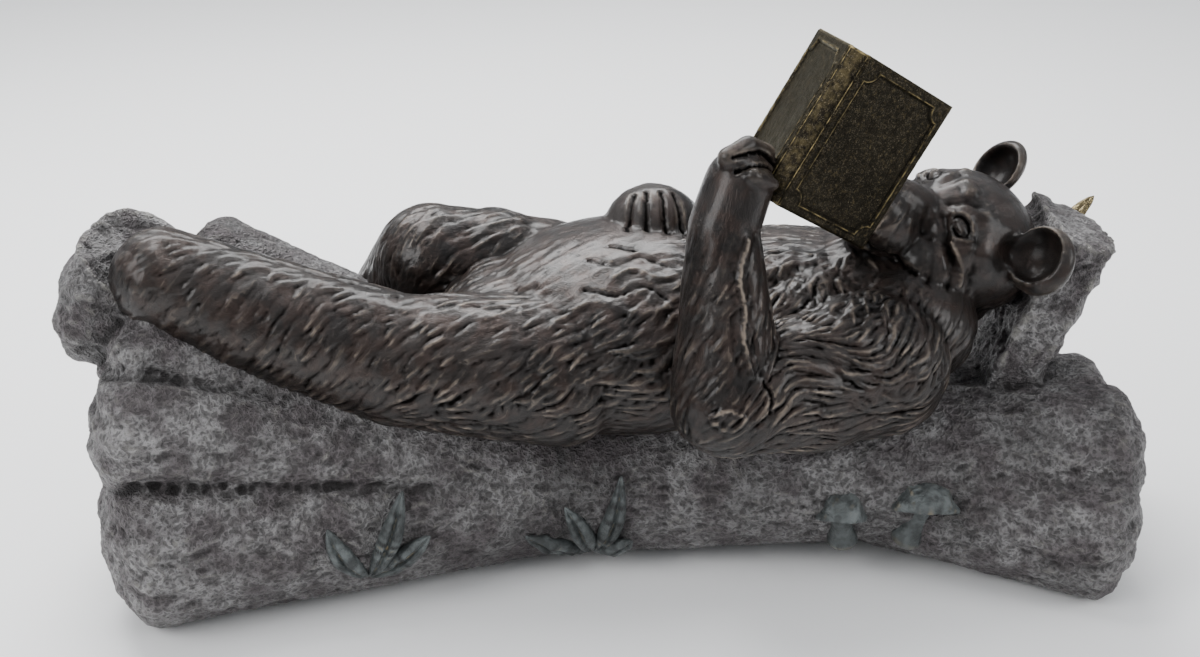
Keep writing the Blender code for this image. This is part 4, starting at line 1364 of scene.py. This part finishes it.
def bronze_material(groups, colour):
    """Dark waxed bronze: black patina and painted shade in its hollows, brown and gold where it is rubbed,
    with painted highlights on its raised places.
    """
    material, tree, shader = new_material("bear_bronze")
    clouds = use(tree, groups.mottle, Scale=14.0)
    wear_and_light = use(tree, groups.wear_and_light, Break_Up=38.0)
    base = blended(tree, clouds["Clouds"], darker(colour, 0.6), darker(colour, 1.5))
    brown = blended(tree, maths(tree, "MULTIPLY", clouds["Blotches"], 0.45), base, (0.042, 0.024, 0.018, 1))
    # Raised places lightened to gold-brown: part rubbed wear, part painted highlight
    rubbed_and_highlit = blended(tree, maths(tree, "MULTIPLY", wear_and_light["Rubbed And Highlight"], 0.85), brown, (0.330, 0.270, 0.215, 1))
    # Hollows darkened to near black: part dark patina, part painted shade
    grime_and_shade = blended(tree, maths(tree, "MULTIPLY", wear_and_light["Grime And Shade"], 0.95), rubbed_and_highlit, darker(colour, 0.12))
    tree.links.new(grime_and_shade, shader.inputs["Base Color"])
    gloss = scaled(tree, clouds["Clouds"], 0.0, 1.0, 0.30, 0.44)
    dull = maths(tree, "ADD", gloss, maths(tree, "MULTIPLY", wear_and_light["Grime And Shade"], 0.30))
    tree.links.new(dull, shader.inputs["Roughness"])
    shader.inputs["Metallic"].default_value = 0.80
    # Less coat and specular in the hollows: a painted shade that takes their reflections away
    clean_and_unshaded = scaled(tree, wear_and_light["Grime And Shade"], 0.0, 0.9, 1.0, 0.0)
    tree.links.new(maths(tree, "MULTIPLY", clean_and_unshaded, 0.42), shader.inputs["Coat Weight"])
    tree.links.new(scaled(tree, clean_and_unshaded, 0.0, 1.0, 0.08, 0.50), shader.inputs["Specular IOR Level"])
    shader.inputs["Coat Roughness"].default_value = 0.24
    lines = use(tree, groups.hair, Scale=190.0)["Height"]
    grain = use(tree, groups.grain, Scale=320.0, Crinkle=0.15, Pits=0.2)["Height"]
    bump(tree, shader, maths(tree, "ADD", lines, maths(tree, "MULTIPLY", grain, 0.18)), 0.0011)
    return material


def bark_material(groups, colour):
    """Grey patina: beige on the crinkles, part patina and part painted highlight, blue-grey between them,
    brown and black in the cracks, part patina and part painted shade.
    """
    material, tree, shader = new_material("log_patina")
    broad = use(tree, groups.mottle, Scale=7.0)
    close = use(tree, groups.mottle, Scale=30.0)
    wear_and_light = use(tree, groups.wear_and_light, Break_Up=70.0)
    grain = use(tree, groups.grain, Scale=440.0, Crinkle=1.3, Pits=0.8)
    base = blended(tree, broad["Clouds"], darker(colour, 0.62), darker(colour, 1.50))
    violet = blended(tree, maths(tree, "MULTIPLY", broad["Blotches"], 0.75), base, (0.088, 0.070, 0.076, 1))
    spots = blended(tree, maths(tree, "MULTIPLY", close["Blotches"], 0.55), violet, (0.050, 0.042, 0.042, 1))
    # Crinkle crests lightened to beige: part patina, part painted highlight
    light = maths(tree, "MULTIPLY", scaled(tree, grain["Crests"], 0.45, 0.80), close["Clouds"])
    crests = blended(tree, maths(tree, "MULTIPLY", light, 0.50), spots, (0.350, 0.345, 0.315, 1))
    # The grain's low places darkened to near black: part dark patina, part painted shade
    low = scaled(tree, grain["Crests"], 0.30, 0.08, 0.0, 0.60)
    cracks = blended(tree, low, crests, (0.018, 0.015, 0.015, 1))
    rubbed_and_highlit = blended(tree, maths(tree, "MULTIPLY", wear_and_light["Rubbed And Highlight"], 0.60), cracks, (0.330, 0.320, 0.290, 1))
    grime_and_shade = blended(tree, maths(tree, "MULTIPLY", wear_and_light["Grime And Shade"], 0.92), rubbed_and_highlit, (0.012, 0.010, 0.010, 1))
    tree.links.new(grime_and_shade, shader.inputs["Base Color"])
    shader.inputs["Roughness"].default_value = 0.50
    shader.inputs["Metallic"].default_value = 0.25
    bump(tree, shader, grain["Height"], 0.0036)
    return material


def brass_material(groups, colour):
    """Antique brass: dark and speckled, with rubbed gold along its edges and beads."""
    material, tree, shader = new_material("book_brass")
    broad = use(tree, groups.mottle, Scale=16.0)
    close = use(tree, groups.mottle, Scale=52.0)
    wear_and_light = use(tree, groups.wear_and_light, Break_Up=120.0)
    base = blended(tree, broad["Clouds"], darker(colour, 0.45), darker(colour, 0.95))
    specks = blended(tree, maths(tree, "MULTIPLY", close["Specks"], 0.80), base, darker(colour, 10.0))
    flecks = blended(tree, maths(tree, "MULTIPLY", broad["Specks"], 0.35), specks, (0.120, 0.092, 0.044, 1))
    dark = blended(tree, maths(tree, "MULTIPLY", close["Blotches"], 0.7), flecks, darker(colour, 0.35))
    rubbed_and_highlit = blended(tree, wear_and_light["Rubbed And Highlight"], dark, (0.300, 0.235, 0.110, 1))
    grime_and_shade = blended(tree, wear_and_light["Grime And Shade"], rubbed_and_highlit, darker(colour, 0.2))
    tree.links.new(grime_and_shade, shader.inputs["Base Color"])
    gloss = scaled(tree, close["Clouds"], 0.0, 1.0, 0.36, 0.52)
    tree.links.new(gloss, shader.inputs["Roughness"])
    shader.inputs["Metallic"].default_value = 0.90
    shader.inputs["Specular Tint"].default_value = (0.90, 0.87, 0.76, 1.0)
    grain = use(tree, groups.grain, Scale=420.0, Crinkle=0.5, Pits=0.5)["Height"]
    bump(tree, shader, grain, 0.0007)
    return material


def plant_material(groups, colour):
    """Blue-grey patina with gold rubbed through on the rims."""
    material, tree, shader = new_material("plant_patina")
    close = use(tree, groups.mottle, Scale=30.0)
    wear_and_light = use(tree, groups.wear_and_light, Break_Up=60.0)
    grain = use(tree, groups.grain, Scale=260.0, Crinkle=0.9, Pits=0.5)
    base = blended(tree, close["Clouds"], darker(colour, 0.6), darker(colour, 1.5))
    dark = blended(tree, maths(tree, "MULTIPLY", close["Blotches"], 0.6), base, (0.024, 0.027, 0.027, 1))
    crests = blended(tree, scaled(tree, grain["Crests"], 0.5, 0.9, 0.0, 0.4), dark, (0.230, 0.240, 0.225, 1))
    rubbed_and_highlit = blended(tree, maths(tree, "MULTIPLY", wear_and_light["Rubbed And Highlight"], 0.7), crests, (0.330, 0.250, 0.130, 1))
    grime_and_shade = blended(tree, wear_and_light["Grime And Shade"], rubbed_and_highlit, (0.012, 0.013, 0.013, 1))
    tree.links.new(grime_and_shade, shader.inputs["Base Color"])
    shader.inputs["Roughness"].default_value = 0.50
    shader.inputs["Metallic"].default_value = 0.30
    bump(tree, shader, grain["Height"], 0.0012)
    return material


def floor_material(colour):
    material, tree, shader = new_material("pale_floor")
    shader.inputs["Base Color"].default_value = (*colour, 1.0)
    shader.inputs["Roughness"].default_value = 0.9
    return material


def finished(piece, material, nodes=()):
    """Gives a piece its material and says which body, slot and node it stands for."""
    piece.data.materials.clear()
    piece.data.materials.append(material)
    piece.data.shade_smooth()
    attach(piece, BODY)
    for node in nodes:
        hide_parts(node)


SMALL_HOLLOW = 0.0003


def small_wear_and_light(piece, passes=2):
    """Stores where a small piece is hollow or raised, which the shared masks turn into rubbed wear and
    painted highlight and into grime and painted shade. It has no deep creases.
    """
    skin = Skin(piece)
    skin.remember("hollow", skin.hollows(passes) / SMALL_HOLLOW)
    skin.remember("deep", np.zeros(len(skin.places)))


# Operators


class STATUE_OT_log(bpy.types.Operator):
    """Models the fallen log with its stump and bark"""

    bl_idname = "statue.log"
    bl_label = "Fallen Log"

    def execute(self, context):
        piece = build_log(context.scene.statue_sizes)
        material = bark_material(shared(), context.scene.statue_colours.bark)
        finished(piece, material, ["log"])
        return {"FINISHED"}


class STATUE_OT_plants(bpy.types.Operator):
    """Models the grass, the mushrooms and the twig on the log"""

    bl_idname = "statue.plants"
    bl_label = "Plants on the Log"

    def execute(self, context):
        bark = Bark(bpy.data.objects["fallen_log"])
        material = plant_material(shared(), context.scene.statue_colours.verdigris)
        pieces = build_grass(bark)
        for name, sizes in MUSHROOMS.items():
            pieces += build_mushroom(name, *sizes)
        for piece in pieces:
            small_wear_and_light(piece)
            finished(piece, material)
        twig = build_twig()
        small_wear_and_light(twig)
        brass = brass_material(shared(), TWIG_BRASS)
        brass.name = "twig_brass"
        finished(twig, brass)
        return {"FINISHED"}


class STATUE_OT_bear(bpy.types.Operator):
    """Models the bear with its fur and face"""

    bl_idname = "statue.bear"
    bl_label = "Bear"

    def execute(self, context):
        piece = build_bear(context.scene.statue_sizes)
        coat = Coat()
        skin = Skin(piece)
        flows = np.array([coat.at(place)[0] for place in skin.places])
        flows -= skin.normals * (flows * skin.normals).sum(1)[:, None]
        flows /= np.maximum(np.linalg.norm(flows, axis=1), 1e-6)[:, None]
        attribute = piece.data.attributes.new("flow", "FLOAT_VECTOR", "POINT")
        attribute.data.foreach_set("vector", flows.astype(np.float32).ravel())
        material = bronze_material(shared(), context.scene.statue_colours.bronze)
        finished(piece, material, ["bear"])
        return {"FINISHED"}


class STATUE_OT_book(bpy.types.Operator):
    """Models the open book"""

    bl_idname = "statue.book"
    bl_label = "Open Book"

    def execute(self, context):
        material = brass_material(shared(), context.scene.statue_colours.brass)
        for piece in build_book(context.scene.statue_sizes):
            small_wear_and_light(piece, 3)
            finished(piece, material, ["book"])
        return {"FINISHED"}


CAMERA_TURN = math.radians(-2.0)
CAMERA_TILT = math.radians(25.0)
CAMERA_DISTANCE = 1.72
CAMERA_LENS, CAMERA_SENSOR = 50.0, 36.0  # in mm
CAMERA_TARGET = Vector((0.0, 0.0, 0.245))
FLOOR_SIZE = 14.0

# Lights: place, size and power in watts
LIGHTS = {
    "overhead": ((-0.4, 1.5, 2.1), (2.6, 0.9), 96),
    "above": ((-0.55, 0.2, 2.1), (0.8, 0.5), 14),
    "front_left": ((-2.2, -1.6, 1.9), (1.6, 1.6), 54),
    "front_right": ((2.4, -1.2, 1.5), (1.2, 1.6), 30),
}
SKY_LOW, SKY_HIGH = 0.16, 1.00  # the studio's brightness at the horizon and overhead


class STATUE_OT_stage(bpy.types.Operator):
    """Sets up the floor, the lights and the camera at the photograph's angle"""

    bl_idname = "statue.stage"
    bl_label = "Stage"

    def execute(self, context):
        scene = context.scene
        clay = bmesh.new()
        bmesh.ops.create_grid(clay, x_segments=1, y_segments=1, size=FLOOR_SIZE / 2)
        floor = new_piece("floor", clay)
        floor.data.materials.append(floor_material(scene.statue_colours.floor))
        for name, (place, size, power) in LIGHTS.items():
            data = bpy.data.lights.new(name, "AREA")
            data.shape = "RECTANGLE"
            data.size, data.size_y = size
            data.energy = power
            light = bpy.data.objects.new(name, data)
            light.location = place
            aim = CAMERA_TARGET - Vector(place)
            light.rotation_euler = aim.to_track_quat("-Z", "Y").to_euler()
            scene.collection.objects.link(light)
        world = bpy.data.worlds.new("studio")
        world.use_nodes = True
        tree = world.node_tree
        background = tree.nodes["Background"]
        background.inputs["Color"].default_value = (0.93, 0.96, 1.0, 1)
        way = put(tree, "ShaderNodeTexCoord").outputs["Generated"]
        height = put(tree, "ShaderNodeSeparateXYZ", {0: way}).outputs["Z"]
        tree.links.new(scaled(tree, height, 0.0, 0.9, SKY_LOW, SKY_HIGH), background.inputs["Strength"])
        scene.world = world
        data = bpy.data.cameras.new("camera")
        data.lens, data.sensor_width = CAMERA_LENS, CAMERA_SENSOR
        camera = bpy.data.objects.new("camera", data)
        level = Matrix.Rotation(CAMERA_TURN, 3, "Z")
        aim = level @ Vector((0, math.cos(CAMERA_TILT), -math.sin(CAMERA_TILT)))
        camera.location = CAMERA_TARGET - aim * CAMERA_DISTANCE
        camera.rotation_euler = aim.to_track_quat("-Z", "Y").to_euler()
        scene.collection.objects.link(camera)
        scene.camera = camera
        return {"FINISHED"}


class STATUE_PT_sidebar(bpy.types.Panel):
    bl_label = "Reading Bear Statue"
    bl_idname = "STATUE_PT_sidebar"
    bl_space_type = "VIEW_3D"
    bl_region_type = "UI"
    bl_category = "Statue"

    def draw(self, context):
        for group in (context.scene.statue_sizes, context.scene.statue_colours):
            for name in type(group).__annotations__:
                self.layout.prop(group, name)
        for operator in OPERATORS:
            self.layout.operator(operator.bl_idname)


_groups = []


def shared():
    """The shared node groups, built at first use."""
    if not _groups:
        _groups.append(Groups())
    return _groups[0]


OPERATORS = (STATUE_OT_log, STATUE_OT_plants, STATUE_OT_bear, STATUE_OT_book, STATUE_OT_stage)
CLASSES = (StatueSizes, StatueColours, *OPERATORS, STATUE_PT_sidebar)


def register():
    for entry in CLASSES:
        bpy.utils.register_class(entry)
    bpy.types.Scene.statue_sizes = bpy.props.PointerProperty(type=StatueSizes)
    bpy.types.Scene.statue_colours = bpy.props.PointerProperty(type=StatueColours)


def unregister():
    del bpy.types.Scene.statue_colours
    del bpy.types.Scene.statue_sizes
    for entry in reversed(CLASSES):
        bpy.utils.unregister_class(entry)


def main():
    register()
    for operator in OPERATORS:
        family, name = operator.bl_idname.split(".")
        getattr(getattr(bpy.ops, family), name)()


if __name__ == "__main__":
    main()
